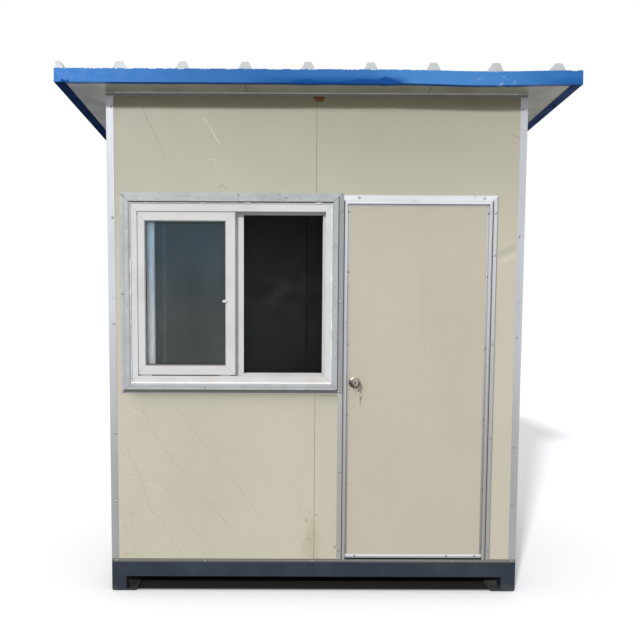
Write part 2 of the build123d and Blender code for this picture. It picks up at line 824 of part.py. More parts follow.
# ---- Roof panels: foam panels whose top sheet is pressed into trapezoid ribs ----
# The roof is drawn across its fall: X to the right, and square to the eaves plane.
roof_top = roof_thickness + rib_height
roof_front = -eaves_overhang / cos(fall)
roof_rear = (booth_depth + eaves_overhang - roof_top * sin(fall)) / cos(fall)
verge_x = right_x + verge_overhang
sheet_front = roof_front + flashing_wall
sheet_rear = roof_rear - flashing_wall
panel_front = roof_front + fascia_standoff
panel_rear = roof_rear - fascia_standoff
panel_edge = verge_x - flashing_wall
down_the_roof = eaves_plane.y_dir
first_rib = first_rib_from_verge - verge_x
rib_pitch = (verge_x - last_rib_from_verge - first_rib) / (rib_count - 1)
rib_centres = [first_rib + i * rib_pitch for i in range(rib_count)]
left_joint = first_rib + left_panel_rib_count * rib_pitch
right_joint = left_joint + middle_panel_rib_count * rib_pitch


def across_roof(distance):
    """The plane across the roof at a distance down it from the front wall's face."""
    origin = eaves_plane.from_local_coords(Vector(0, distance, 0))
    return Plane(origin=origin, x_dir=(1, 0, 0), z_dir=-down_the_roof)


def roof_panel(left, right):
    """One panel from side to side, with the ribs or parts of ribs that fall on it."""
    with BuildPart() as panel:
        with BuildSketch(across_roof(panel_rear)):
            rectangle_between((-panel_edge, 0), (panel_edge, roof_thickness))
            for centre in rib_centres:
                outline([
                    (centre - rib_base / 2, roof_thickness),
                    (centre + rib_base / 2, roof_thickness),
                    (centre + rib_top / 2, roof_top),
                    (centre - rib_top / 2, roof_top),
                ])
            rectangle_between((left, 0), (right, roof_top), mode=Mode.INTERSECT)
        extrude(amount=panel_rear - panel_front)
    return panel


finish(roof_panel(-panel_edge, left_joint), "roof_panel_left")
finish(roof_panel(left_joint, right_joint), "roof_panel_middle")
finish(roof_panel(right_joint, panel_edge), "roof_panel_right")

# ---- Edge flashings: folded sheet, hemmed under the eaves and returned under the verges ----
fascia_top = roof_thickness + fascia_upstand


def eaves_flashing(distance, rearward):
    """The flashing across one end of the roof, with its hem turned under the panels."""
    with BuildPart() as flashing:
        with BuildSketch(across_roof(distance)):
            rectangle_between((-verge_x, -flashing_wall), (verge_x, fascia_top))
        extrude(amount=-rearward * flashing_wall)
        with BuildSketch(across_roof(distance)):
            rectangle_between((verge_return - verge_x, -flashing_wall), (verge_x - verge_return, 0))
        extrude(amount=-rearward * fascia_hem)
    return flashing


finish(eaves_flashing(roof_front, 1), "fascia_front")
finish(eaves_flashing(roof_rear, -1), "fascia_rear")


def verge_flashing(lip):
    """The right verge's flashing: a face, a wide return below and a lip over the panel."""
    with BuildPart() as flashing:
        with BuildSketch(across_roof(sheet_rear)):
            rectangle_between((panel_edge, -flashing_wall), (verge_x, fascia_top + flashing_wall))
            rectangle_between((verge_x - verge_return, -flashing_wall), (verge_x, 0))
            rectangle_between((verge_x - lip, fascia_top), (verge_x, fascia_top + flashing_wall))
        extrude(amount=sheet_rear - sheet_front)
    return flashing


finish(verge_flashing(verge_lip), "fascia_right")
with BuildPart() as fascia_left:
    add(mirror(verge_flashing(flashing_wall).part, about=Plane.YZ, mode=Mode.PRIVATE))
finish(fascia_left, "fascia_left")
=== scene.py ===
import math

import bmesh
import bpy
import numpy
from mathutils import Matrix, Vector, noise


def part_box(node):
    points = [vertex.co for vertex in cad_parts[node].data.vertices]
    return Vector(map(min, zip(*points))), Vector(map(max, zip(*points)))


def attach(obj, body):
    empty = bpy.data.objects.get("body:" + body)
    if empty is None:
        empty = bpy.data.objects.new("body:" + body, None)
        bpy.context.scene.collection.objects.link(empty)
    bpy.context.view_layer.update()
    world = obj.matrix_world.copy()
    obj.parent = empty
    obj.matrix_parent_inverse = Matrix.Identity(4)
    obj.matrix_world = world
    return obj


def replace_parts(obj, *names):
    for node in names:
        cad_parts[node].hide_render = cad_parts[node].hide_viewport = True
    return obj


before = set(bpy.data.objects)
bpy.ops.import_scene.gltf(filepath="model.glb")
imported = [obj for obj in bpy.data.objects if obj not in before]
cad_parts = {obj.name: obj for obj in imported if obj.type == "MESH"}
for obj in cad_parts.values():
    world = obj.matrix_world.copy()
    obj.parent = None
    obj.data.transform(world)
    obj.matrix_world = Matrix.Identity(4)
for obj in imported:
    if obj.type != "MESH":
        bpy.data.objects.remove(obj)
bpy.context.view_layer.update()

scene = bpy.context.scene
scene.view_settings.view_transform = "Standard"

# ---- Where the booth stands ----
# A pale floor under a plain white sky, a low sun from the front left, and a camera at a
# grown person's eye height, a little left of the booth's middle.
front_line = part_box("bottom_track_front")[0].y
camera_left, camera_back, eye_height = 0.185, 3.854, 1.644
heading, pitch, roll = (math.radians(angle) for angle in (-0.17, 86.0, 0.24))


def placed(name, data):
    """A new object standing in the scene."""
    made = bpy.data.objects.new(name, data)
    scene.collection.objects.link(made)
    return made


eye = placed("eye", bpy.data.cameras.new("eye"))
scene.camera = eye
eye.data.lens = 38.95
eye.data.shift_x = 0.0558
eye.data.shift_y = 0.0484
eye.matrix_world = (Matrix.Translation((-camera_left, front_line - camera_back, eye_height))
                    @ Matrix.Rotation(heading, 4, "Z") @ Matrix.Rotation(pitch, 4, "X")
                    @ Matrix.Rotation(roll, 4, "Z"))

sun = placed("low_sun", bpy.data.lights.new("low_sun", "SUN"))
sun.data.energy = 2.0
sun.data.angle = math.radians(4)
sun.matrix_world = Vector((0.42, 1.0, -0.6)).to_track_quat("-Z", "Y").to_matrix().to_4x4()


def node(tree, kind, inputs=None, out=0, **settings):
    """Adds a node, sets its options, feeds its inputs and gives back one output."""
    made = tree.nodes.new(kind)
    for name, value in settings.items():
        setattr(made, name, value)
    for key, value in (inputs or {}).items():
        if isinstance(value, bpy.types.NodeSocket):
            tree.links.new(value, made.inputs[key])
        else:
            made.inputs[key].default_value = value
    return made.outputs[out]


def home(*values):
    """The node tree of the first value that comes out of a node."""
    return next(value.id_data for value in values if isinstance(value, bpy.types.NodeSocket))


def maths(operation, first, second=0.0):
    """One Math node."""
    return node(home(first, second), "ShaderNodeMath", {0: first, 1: second}, operation=operation)


def times(first, *others):
    """Values multiplied together."""
    for other in others:
        first = maths("MULTIPLY", first, other)
    return first


def paint(red, green, blue):
    """A colour from a paint sheet's 0 to 255 values."""
    shares = (value / 255 for value in (red, green, blue))
    return (*(s / 12.92 if s <= 0.04045 else ((s + 0.055) / 1.055) ** 2.4 for s in shares), 1.0)


def mixed(share, first, second, mode="MIX"):
    """Two colours mixed by a share, where three plain numbers are a paint sheet's values."""
    first, second = (paint(*colour) if isinstance(colour, tuple) and len(colour) == 3 else colour
                     for colour in (first, second))
    return node(home(share, first, second), "ShaderNodeMix", {0: share, 6: first, 7: second}, out=2,
                data_type="RGBA", blend_type=mode)


def between(value, low, high, from_value=0.0, to_value=1.0):
    """A value's place between two limits, smoothed."""
    return node(home(value), "ShaderNodeMapRange", {0: value, 1: low, 2: high, 3: from_value, 4: to_value},
                interpolation_type="SMOOTHSTEP")


def feed(material, key, value):
    """Leads a pattern into one input of a material's shader."""
    tree = material.node_tree
    tree.links.new(value, tree.nodes["Principled BSDF"].inputs[key])


def new_finish(name, roughness, metallic=0.0, specular=0.5):
    """A new material with its shader's plain values set, and its node tree."""
    made = bpy.data.materials.new(name)
    made.use_nodes = True
    plain = made.node_tree.nodes["Principled BSDF"].inputs
    plain["Roughness"].default_value = roughness
    plain["Metallic"].default_value = metallic
    plain["Specular IOR Level"].default_value = specular
    return made, made.node_tree


def seen_directly(tree):
    """1 where the camera looks, straight or by a mirror or through glass."""
    rays = tree.nodes.new("ShaderNodeLightPath").outputs
    either = maths("MAXIMUM", rays["Is Camera Ray"], rays["Is Glossy Ray"])
    return maths("MAXIMUM", either, rays["Is Transmission Ray"])


def place_on(tree, axis=None, stretch=(1, 1, 1)):
    """The place on the booth in metres, stretched for a pattern, or one axis of it."""
    place = node(tree, "ShaderNodeTexCoord", out=3)
    if axis:
        return node(tree, "ShaderNodeSeparateXYZ", {0: place}, out="XYZ".index(axis))
    return node(tree, "ShaderNodeMapping", {"Vector": place, "Scale": stretch})


sky = bpy.data.worlds.new("white_sky")
scene.world = sky
sky.use_nodes = True
tree = sky.node_tree
backdrop = tree.nodes["Background"].inputs
backdrop["Color"].default_value = (1, 1, 1, 1)
sky_strength = node(tree, "ShaderNodeMapRange", {0: seen_directly(tree), 3: 0.6, 4: 1.0})
tree.links.new(sky_strength, backdrop["Strength"])

reach = 16
floor_mesh = bpy.data.meshes.new("pale_floor")
floor_mesh.from_pydata([(-reach, -reach, 0), (reach, -reach, 0), (reach, reach, 0), (-reach, reach, 0)],
                       [], [(0, 1, 2, 3)])
pale_floor = placed("pale_floor", floor_mesh)
floor_finish, tree = new_finish("floor_finish", 1.0, specular=0.0)
# painted shadow: the floor is painted dark under the booth, where there is only shade
beyond_x, beyond_y = (maths("SUBTRACT", maths("ABSOLUTE", place_on(tree, axis)), half_size)
                      for axis, half_size in (("X", 1.12), ("Y", 0.735)))
painted_shadow_under_booth = between(maths("MAXIMUM", beyond_x, beyond_y), 0.02, -0.02)
bright = mixed(painted_shadow_under_booth, (1.19, 1.195, 1.215, 1), (0.04, 0.038, 0.034, 1))
feed(floor_finish, "Base Color", mixed(seen_directly(tree), (0.36, 0.36, 0.35, 1), bright))
floor_mesh.materials.append(floor_finish)

# ---- Welded base: legs, channels and joists ----
# Square tube legs on foot plates and folded channels, welded and sprayed dark blue grey. The
# paint is dusty on its faces, splashed with mud near the ground and specked with rust.


def grain(tree, scale, detail=4.0, stretch=(1, 1, 1), roughness=0.55):
    """Soft noise over the booth, 0 to 1."""
    settings = {"Scale": scale, "Detail": detail, "Roughness": roughness}
    return node(tree, "ShaderNodeTexNoise", {"Vector": place_on(tree, None, stretch), **settings})


def facing(tree, axis):
    """One part of the surface's direction."""
    direction = tree.nodes.new("ShaderNodeNewGeometry").outputs["True Normal"]
    return node(tree, "ShaderNodeSeparateXYZ", {0: direction}, out="XYZ".index(axis))


def stain(colour, pattern, low, high, tone, most=1):
    """Works a tone into a colour where a pattern climbs from low to high."""
    share = between(pattern, low, high)
    return mixed(share if most == 1 else times(share, most), colour, tone)


def coat(material, colour, pattern, low, high):
    """Gives a material its colour, and a roughness that wanders with a pattern from low to high."""
    feed(material, "Base Color", colour)
    feed(material, "Roughness", between(pattern, 0.3, 0.7, low, high))


def raise_bumps(material, height, distance, strength):
    """Turns a height pattern into bumps of a real depth."""
    sizes = {"Height": height, "Distance": distance, "Strength": strength}
    feed(material, "Normal", node(material.node_tree, "ShaderNodeBump", sizes))


def dress(material, *names):
    """Gives CAD nodes their finish."""
    for name in names:
        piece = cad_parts[name]
        for held in piece.material_slots:
            held.material = material
        if not piece.material_slots:
            piece.data.materials.append(material)


def add_piece(name, mesh, body, slot, *materials):
    """A new piece of the booth, riding on one of its bodies."""
    piece = placed(name, mesh)
    for material in materials:
        mesh.materials.append(material)
    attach(piece, body)
    return piece


# dusty paint, mud splashed on its foot, specks of rust, and dust lying on level faces
base_paint, tree = new_finish("base_paint", 0.5, specular=0.3)
steel = stain((31, 41, 53), grain(tree, 6, 6), 0.35, 0.75, (47, 57, 68))
splash = times(between(place_on(tree, "Z"), 0.1, 0.0), grain(tree, 22, 5))
steel = stain(steel, splash, 0.3, 0.65, (66, 66, 64))
steel = stain(steel, grain(tree, 55, 3), 0.75, 0.79, (88, 66, 52))
steel = stain(steel, facing(tree, "Z"), 0.6, 0.9, (84, 84, 80), 0.3)
coat(base_paint, steel, grain(tree, 9, 5), 0.36, 0.62)
raise_bumps(base_paint, grain(tree, 180, 3), 0.0004, 0.5)
dress(base_paint, "corner_legs", "base_channels", "floor_joists")

# weld seams, a run of overlapping ripples down each joint of leg and channel
leg_width = 0.08
leg_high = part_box("corner_legs")[1]
channel_low, channel_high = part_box("base_channels")


def rows_tree():
    """Stands a small solid on every place of a mesh, turned to face out: a rivet's dome with its
    stem and washer painted dark as shade, a hexagon screw on its washer, or a weld's ripple."""
    tree = bpy.data.node_groups.new("rows_of_fixings", "GeometryNodeTree")
    wanted = {"Geometry": ["Geometry"], "Bool": ["Hexagon"], "Material": ["Metal", "Stem Metal"],
              "Float": ["Head Radius", "Head Height", "Washer Radius", "Washer Height", "Stem Radius",
                        "Unevenness"]}
    for kind, names in wanted.items():
        for name in names:
            tree.interface.new_socket(name, in_out="INPUT", socket_type="NodeSocket" + kind)
    tree.interface.new_socket("Geometry", in_out="OUTPUT", socket_type="NodeSocketGeometry")
    given = tree.nodes.new("NodeGroupInput").outputs
    head_radius, head_height = given["Head Radius"], given["Head Height"]
    washer_height, stem_radius = given["Washer Height"], given["Stem Radius"]
    stem_height = 0.0006

    def rod(sides, radius, depth, middle):
        """An upright cylinder with its middle at a height."""
        solid = node(tree, "GeometryNodeMeshCylinder", {"Vertices": sides, "Radius": radius, "Depth": depth})
        lift = node(tree, "ShaderNodeCombineXYZ", {"Z": middle})
        return node(tree, "GeometryNodeTransform", {"Geometry": solid, "Translation": lift})

    def marked(solid, is_stem):
        """Notes on a solid's faces whether they take the stem's metal."""
        note = {"Geometry": solid, "Name": "stem", "Value": is_stem}
        return node(tree, "GeometryNodeStoreNamedAttribute", note, data_type="BOOLEAN", domain="FACE")

    def chosen(choice, solids):
        """One solid or the other, or none."""
        return node(tree, "GeometryNodeSwitch", {"Switch": choice, **solids}, input_type="GEOMETRY")

    upright = node(tree, "ShaderNodeCombineXYZ", {"X": head_radius, "Y": head_radius, "Z": head_height})
    dome = node(tree, "GeometryNodeMeshUVSphere", {"Segments": 12, "Rings": 6, "Radius": 1.0})
    dome = node(tree, "GeometryNodeTransform", {"Geometry": dome, "Scale": upright})
    hexagon = rod(6, head_radius, head_height, maths("ADD", times(head_height, 0.5), washer_height))
    head = chosen(given["Hexagon"], {"False": dome, "True": hexagon})
    has_stem = maths("GREATER_THAN", stem_radius, 0.0)
    washer = rod(20, given["Washer Radius"], washer_height, times(washer_height, 0.5))
    washer = chosen(maths("GREATER_THAN", washer_height, 0.0), {"True": marked(washer, has_stem)})
    stem = rod(8, stem_radius, stem_height, maths("ADD", head_height, washer_height))
    stem = chosen(has_stem, {"True": marked(stem, True)})
    together = tree.nodes.new("GeometryNodeJoinGeometry")
    for part in (stem, washer, head):
        tree.links.new(part, together.inputs[0])
    outward = node(tree, "GeometryNodeInputNamedAttribute", {"Name": "outward"}, data_type="FLOAT_VECTOR")
    turned = node(tree, "FunctionNodeAlignRotationToVector", {"Vector": outward}, axis="Z")
    smallest = maths("SUBTRACT", 1.0, given["Unevenness"])
    size = node(tree, "FunctionNodeRandomValue", {2: smallest, 3: 1.0, "Seed": 7}, out=1, data_type="FLOAT")
    points = node(tree, "GeometryNodeMeshToPoints", {"Mesh": given["Geometry"]})
    rows = {"Points": points, "Instance": together.outputs[0], "Rotation": turned, "Scale": size}
    rows = node(tree, "GeometryNodeInstanceOnPoints", rows)
    rows = node(tree, "GeometryNodeRealizeInstances", {"Geometry": rows})
    rows = node(tree, "GeometryNodeSetMaterial", {"Geometry": rows, "Material": given["Metal"]})
    is_stem = node(tree, "GeometryNodeInputNamedAttribute", {"Name": "stem"}, data_type="BOOLEAN")
    rows = {"Geometry": rows, "Selection": is_stem, "Material": given["Stem Metal"]}
    rows = node(tree, "GeometryNodeSetMaterial", rows)
    tree.links.new(rows, tree.nodes.new("NodeGroupOutput").inputs[0])
    return tree


fixings = rows_tree()


def stand_rows(name, body, slot, places, sizes):
    """A plain mesh of one kind of fixing on a list of (place, outward) pairs."""
    seed_mesh = bpy.data.meshes.new(name + "_places")
    seed_mesh.from_pydata([place for place, outward in places], [], [])
    held = seed_mesh.attributes.new("outward", "FLOAT_VECTOR", "POINT")
    for i, (place, outward) in enumerate(places):
        held.data[i].vector = outward
    seeds = placed(name + "_places", seed_mesh)
    modifier = seeds.modifiers.new("rows", "NODES")
    modifier.node_group = fixings
    for socket in fixings.interface.items_tree:
        if socket.in_out == "INPUT" and socket.name in sizes:
            modifier[socket.identifier] = sizes[socket.name]
    grown = seeds.evaluated_get(bpy.context.evaluated_depsgraph_get())
    mesh = bpy.data.meshes.new_from_object(grown)
    mesh.name = name
    mesh.materials.pop(index=0)
    bpy.data.objects.remove(seeds)
    return add_piece(name, mesh, body, slot)


front, rear, right = (Vector(way) for way in ((0, -1, 0), (0, 1, 0), (1, 0, 0)))
joint_x = leg_high.x - leg_width
joint_y = leg_high.y - leg_width
ripple_step = 0.0042
ripple_count = int((channel_high.z - channel_low.z) / ripple_step)
weld_places = []
for side in (-1, 1):
    for end in (-1, 1):
        for i in range(ripple_count):
            height = channel_low.z + ripple_step * (i + 0.5)
            weld_places.append((Vector((side * joint_x, end * leg_high.y, height)), end * rear))
            weld_places.append((Vector((side * leg_high.x, end * joint_y, height)), side * right))
stand_rows("weld_seams", "booth", "base_paint", weld_places,
           {"Head Radius": 0.005, "Head Height": 0.0011, "Unevenness": 0.35, "Metal": base_paint})

# ---- Floor board ----
# An 18 mm board laid in the bottom tracks, covered with grey speckled vinyl, darker and duller
# in patches.
vinyl, tree = new_finish("vinyl", 0.45)
colour = stain((96, 92, 84), grain(tree, 420, 2), 0.52, 0.6, (120, 116, 108))
colour = stain(colour, grain(tree, 3, 5), 0.4, 0.7, (78, 74, 68))
coat(vinyl, colour, grain(tree, 8, 4), 0.35, 0.6)
dress(vinyl, "floor_board")

# ---- Aluminium tracks and corner angles ----
# Extruded channels and angles, drawn lengthwise, that hold the panels' edges. Rain and dust
# have dulled them, the posts most near the ground; a painted shadow lines the top of the bottom
# track and a painted highlight the top of the top track. Blind rivets with open stems hold the
# angles, their stems and a ring round each head painted dark as shade.
along_x, along_y, along_z = (0.08, 1, 1), (1, 0.08, 1), (1, 1, 0.08)


def aluminium(name, top_colour, foot_colour, drawn, scuffs=0.5, foot=0.2, top=2.75):
    """Weathered extruded aluminium, one tone at its foot and another higher, streaked as drawn."""
    made, tree = new_finish(name, 0.42, metallic=0.25)
    colour = stain(foot_colour, place_on(tree, "Z"), foot, top, top_colour)
    colour = stain(colour, grain(tree, 9, 5, drawn), 0.3, 0.75, (136, 138, 138), 0.3)
    colour = stain(colour, grain(tree, 26, 6, (1, 1, 1), 0.7), 0.58, 0.72, (116, 116, 112), scuffs)
    coat(made, colour, grain(tree, 30, 4, drawn), 0.3, 0.52)
    fine = tuple(40 if share >= 1 else 1 for share in drawn)
    raise_bumps(made, grain(tree, 14, 3, fine), 0.0003, 0.35)
    return made


def away(value, middle):
    """How far a value lies from a middle, to either side."""
    return maths("ABSOLUTE", maths("SUBTRACT", value, middle))


def within(value, low, high):
    """1 where a value lies between two limits, with sharp edges."""
    return times(maths("GREATER_THAN", value, low), maths("LESS_THAN", value, high))


def overpaint(material, share, colour, mode="MIX"):
    """Lays one more colour over a finished material, by a share."""
    base = material.node_tree.nodes["Principled BSDF"].inputs["Base Color"]
    feed(material, "Base Color", mixed(share, base.links[0].from_socket, colour, mode))


def band_across(material, axis, low, high, colour, middle=0.0):
    """Paints a band between two places across a section, mirrored about a middle where one is given."""
    place = place_on(material.node_tree, axis)
    overpaint(material, within(away(place, middle) if middle else place, low, high), colour)


def two_toned(name, pattern, first, second, roughness, limits=None, **settings):
    """A finish of two tones that run into each other, by noise of a scale and a detail."""
    made, tree = new_finish(name, roughness, **settings)
    share = between(grain(tree, *pattern), *limits) if limits else grain(tree, *pattern)
    feed(made, "Base Color", mixed(share, first, second))
    return made


post_metal = aluminium("post_metal", (198, 201, 208), (163, 163, 165), along_z, 0.3, 0.5, 1.7)
top_metal = aluminium("top_track_metal", (128, 131, 127), (128, 131, 127), along_x, 0.6)
foot_metal = aluminium("bottom_track_metal", (122, 123, 118), (122, 123, 118), along_x, 0.7)
side_metal = aluminium("side_track_metal", (160, 162, 164), (140, 140, 138), along_y, 0.5)
track_low, track_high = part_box("bottom_track_front")
track_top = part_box("top_track_front")[1].z
band_across(foot_metal, "Z", track_low.z - 0.001, track_low.z + 0.007, (82, 84, 82))
# a painted shadow along the top of the bottom track
band_across(foot_metal, "Z", track_high.z - 0.0045, track_high.z + 0.0005, (96, 96, 88))
# a painted highlight along the top edge of the top track
band_across(top_metal, "Z", track_top - 0.0065, track_top + 0.001, (178, 180, 181))
dress(post_metal, "corner_angles", "inner_corner_angles")
dress(top_metal, "top_track_front", "top_track_rear")
dress(foot_metal, "bottom_track_front", "bottom_track_rear")
dress(side_metal, "bottom_tracks_side", "top_tracks_side")

rivet_metal = two_toned("rivet_metal", (300, 2), (206, 208, 210), (168, 170, 172), 0.3, metallic=0.85)
# dark finish for rivet and screw stems and the washers under rivets: painted shade in the hollow stem and
# round the head
dark_stem_shade = two_toned("dark_stem_shade", (200, 2), (52, 46, 42), (34, 32, 30), 0.6)

post_low, post_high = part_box("corner_angles")
rivet_inset, rear_drop, side_drop = 0.029, 0.05, 0.06
rivet_x, rivet_y = post_high.x - rivet_inset, post_high.y - rivet_inset
rivet_places = []
corner_rivets = {-1: (0.52, 0.908, 1.521, 2.106, 2.704), 1: (0.5, 0.834, 1.455, 2.013, 2.699)}
for side, heights in corner_rivets.items():
    for height in heights:
        rivet_places.append((Vector((side * rivet_x, post_low.y, height)), front))
        rivet_places.append((Vector((-side * rivet_x, post_high.y, height - rear_drop)), rear))
        for end in (-1, 1):
            beside = Vector((side * post_high.x, end * rivet_y, height - side_drop))
            rivet_places.append((beside, side * right))
track_middle = (track_low.z + track_high.z) / 2
for along in (-1.122, -0.62, -0.009, 0.791, 1.128):
    rivet_places.append((Vector((along, track_low.y, track_middle)), front))
    rivet_places.append((Vector((-along, -track_low.y, track_middle)), rear))
for along in (-0.55, -0.1, 0.35):
    for side in (-1, 1):
        rivet_places.append((Vector((side * post_high.x, along, track_middle)), side * right))
rivet_sizes = {"Head Radius": 0.0052, "Head Height": 0.002, "Stem Radius": 0.0021, "Washer Radius": 0.0066,
               "Washer Height": 0.0003, "Metal": rivet_metal, "Stem Metal": dark_stem_shade}
stand_rows("frame_rivets", "booth", "aluminium_track", rivet_places, rivet_sizes)

# ---- Wall panels ----
# Ivory coil-coated steel on 50 mm foam. The outer skins have faint roller waves and grow darker
# towards the top, with a painted shadow of the roof under the eaves; the skins on the room side are
# the same sheet, painted darker as the shade inside the booth.
trim_low, trim_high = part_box("window_trim")
ledge_grip, seam_half_width = 0.004, 0.0014


def on_room_side(tree):
    """1 on a wall's skin that faces the room."""
    toward_x, toward_y = (times(facing(tree, axis), place_on(tree, axis)) for axis in "XY")
    return maths("LESS_THAN", maths("ADD", toward_x, toward_y), -0.05)


def ivory_skin(name, low_colour, high_colour, dirt, seams=()):
    """Ivory coil coating with clouds, patches, runs and specks of dirt, and painted shade under the window's
    trim, under the eaves and on the room side.
    """
    made, tree = new_finish(name, 0.42)
    x, z = place_on(tree, "X"), place_on(tree, "Z")
    rise = maths("ADD", z, times(grain(tree, 1.3, 3), 0.6))
    colour = stain(low_colour, rise, 2.0, 3.1, high_colour)
    colour = stain(colour, grain(tree, 2.2, 6, (1, 1, 0.6)), 0.35, 0.75, dirt, 0.45)
    colour = stain(colour, grain(tree, 60, 3), 0.45, 0.75, dirt, 0.25)
    colour = stain(colour, grain(tree, 16, 4, (1, 1, 0.05)), 0.56, 0.8, (168, 160, 138), 0.1)
    colour = stain(colour, grain(tree, 95, 2), 0.73, 0.76, (132, 118, 98), 0.35)
    # splashed soil by the foot of the front seam and in the left corner
    by_seam = between(away(x, -0.02), 0.11, 0.03)
    splashed = times(maths("MAXIMUM", by_seam, between(x, -0.95, -1.08)), between(z, 0.62, 0.3))
    for scale, detail, low, most, tone in ((70, 4, 0.62, 0.7, (150, 122, 88)),
                                           (9, 5, 0.45, 0.35, (164, 156, 132))):
        marks = between(grain(tree, scale, detail, (1, 1, 0.5)), low, 0.7)
        colour = mixed(times(splashed, marks, most), colour, tone)
    # painted shade under the ledge of the window's trim, fading downward
    fading = maths("EXPONENT", maths("DIVIDE", maths("SUBTRACT", z, trim_low.z), 0.03))
    painted_shade_below_trim = times(maths("MINIMUM", fading, 1), maths("LESS_THAN", z, trim_low.z + ledge_grip),
                       between(x, trim_low.x, trim_low.x + 0.12),
                       between(x, trim_high.x + ledge_grip, trim_high.x - 0.008),
                       between(facing(tree, "Y"), -0.4, -0.8))
    colour = mixed(painted_shade_below_trim, colour, (152, 148, 133))
    # painted shadow of the roof under the eaves, dark joints, and painted shade on the room side
    colour = stain(colour, z, 2.675, 2.722, (134, 130, 104))
    for axis, place in seams:
        on_seam = maths("LESS_THAN", away(place_on(tree, axis), place), seam_half_width)
        colour = mixed(on_seam, colour, (168, 163, 145))
    # the room side's skins are painted dark: painted shade inside the booth
    colour = mixed(on_room_side(tree), colour, (104, 103, 97))
    coat(made, colour, grain(tree, 7, 5), 0.36, 0.55)
    waves = maths("ADD", grain(tree, 2.6, 2, (1, 1, 0.3)), times(grain(tree, 240, 2), 0.05))
    # a soft diagonal buckle in the strip right of the door
    along, across = (node(tree, "ShaderNodeVectorMath", {0: place_on(tree), 1: way}, out=1,
                          operation="DOT_PRODUCT") for way in ((0.927, 0, 0.375), (-0.375, 0, 0.927)))
    buckle = times(between(away(across, 1.377), 0.038, 0.0), between(away(along, 1.7055), 0.085, 0.02), -9)
    raise_bumps(made, maths("ADD", waves, buckle), 0.004, 0.25)
    return made


side_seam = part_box("left_wall_rear_panel")[0].y
wall_skin = ivory_skin("wall_skin", (200, 195, 176), (169, 166, 148), (186, 182, 163),
                       (("X", 0), ("Y", side_seam)))
dress(wall_skin, "front_wall_left_panel", "front_wall_pier", "front_wall_header", "front_wall_door_strip",
      "left_wall_front_panel", "left_wall_rear_panel", "right_wall_front_panel", "right_wall_rear_panel",
      "rear_wall_left_panel", "rear_wall_right_panel")

# Long scrapes from handling, and shorter dark and bare ones: thin ribbons of bared or rubbed paint.
wall_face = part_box("front_wall_left_panel")[0].y
rubbed = two_toned("rubbed_paint", (40, 4), (160, 156, 140), (186, 183, 166), 0.6, (0.35, 0.65))
grimy = two_toned("grimy_scrape", (60, 4), (92, 84, 68), (130, 122, 104), 0.7)
bared = two_toned("bared_primer", (60, 4), (236, 236, 230), (216, 216, 208), 0.5)


def join_rings(maker, rings, closed=False):
    """Skins a row of rings of corners, and caps both ends or closes the row on itself."""
    for first, second in zip(rings, rings[1:] + rings[:closed]):
        for i in range(len(first)):
            k = (i + 1) % len(first)
            maker.faces.new((first[i], first[k], second[k], second[i]))
    if not closed:
        maker.faces.new(rings[0])
        maker.faces.new(rings[-1])


def scrape(maker, points, width, face):
    """A thin ribbon on a wall through a few (along, height) points, pointed at both ends."""
    ridge, steps = 0.00025, 6
    smooth = []
    for i in range(len(points) - 1):
        before = points[max(i - 1, 0)]
        after = points[min(i + 2, len(points) - 1)]
        for t in (k / steps for k in range(steps)):
            smooth.append(tuple(0.5 * (2 * b + (c - a) * t + (2 * a - 5 * b + 4 * c - d) * t * t
                                       + (3 * b - a - 3 * c + d) * t ** 3)
                                for a, b, c, d in zip(before, points[i], points[i + 1], after)))
    smooth.append(points[-1])
    rows = []
    for i, (along, height) in enumerate(smooth):
        ahead = smooth[min(i + 1, len(smooth) - 1)]
        behind = smooth[max(i - 1, 0)]
        run = Vector((ahead[0] - behind[0], ahead[1] - behind[1])).normalized()
        share = i / (len(smooth) - 1)
        wander = 0.7 + 0.6 * noise.noise(Vector((along * 40, height * 40, 3)))
        half = 0.5 * width * wander * min(1, 8 * share, 8 * (1 - share)) + 0.00005
        off = Vector((-run.y, run.x)) * half
        rows.append([maker.verts.new(corner) for corner in (
            (along + off.x, face, height + off.y), (along, face - ridge, height),
            (along - off.x, face, height - off.y))])
    join_rings(maker, rows)


def settled(maker, name):
    """The mesh that has been built, with its faces turned outward."""
    bmesh.ops.recalc_face_normals(maker, faces=maker.faces)
    mesh = bpy.data.meshes.new(name)
    maker.to_mesh(mesh)
    maker.free()
    return mesh


def scrapes(name, body, slot, material, face, lines):
    """A piece of several scrapes on one face, each a width and its places in millimetres."""
    maker = bmesh.new()
    for width, *places in lines:
        scrape(maker, [(along / 1000, height / 1000) for along, height in places], width / 1000, face)
    return add_piece(name, settled(maker, name), body, slot, material)


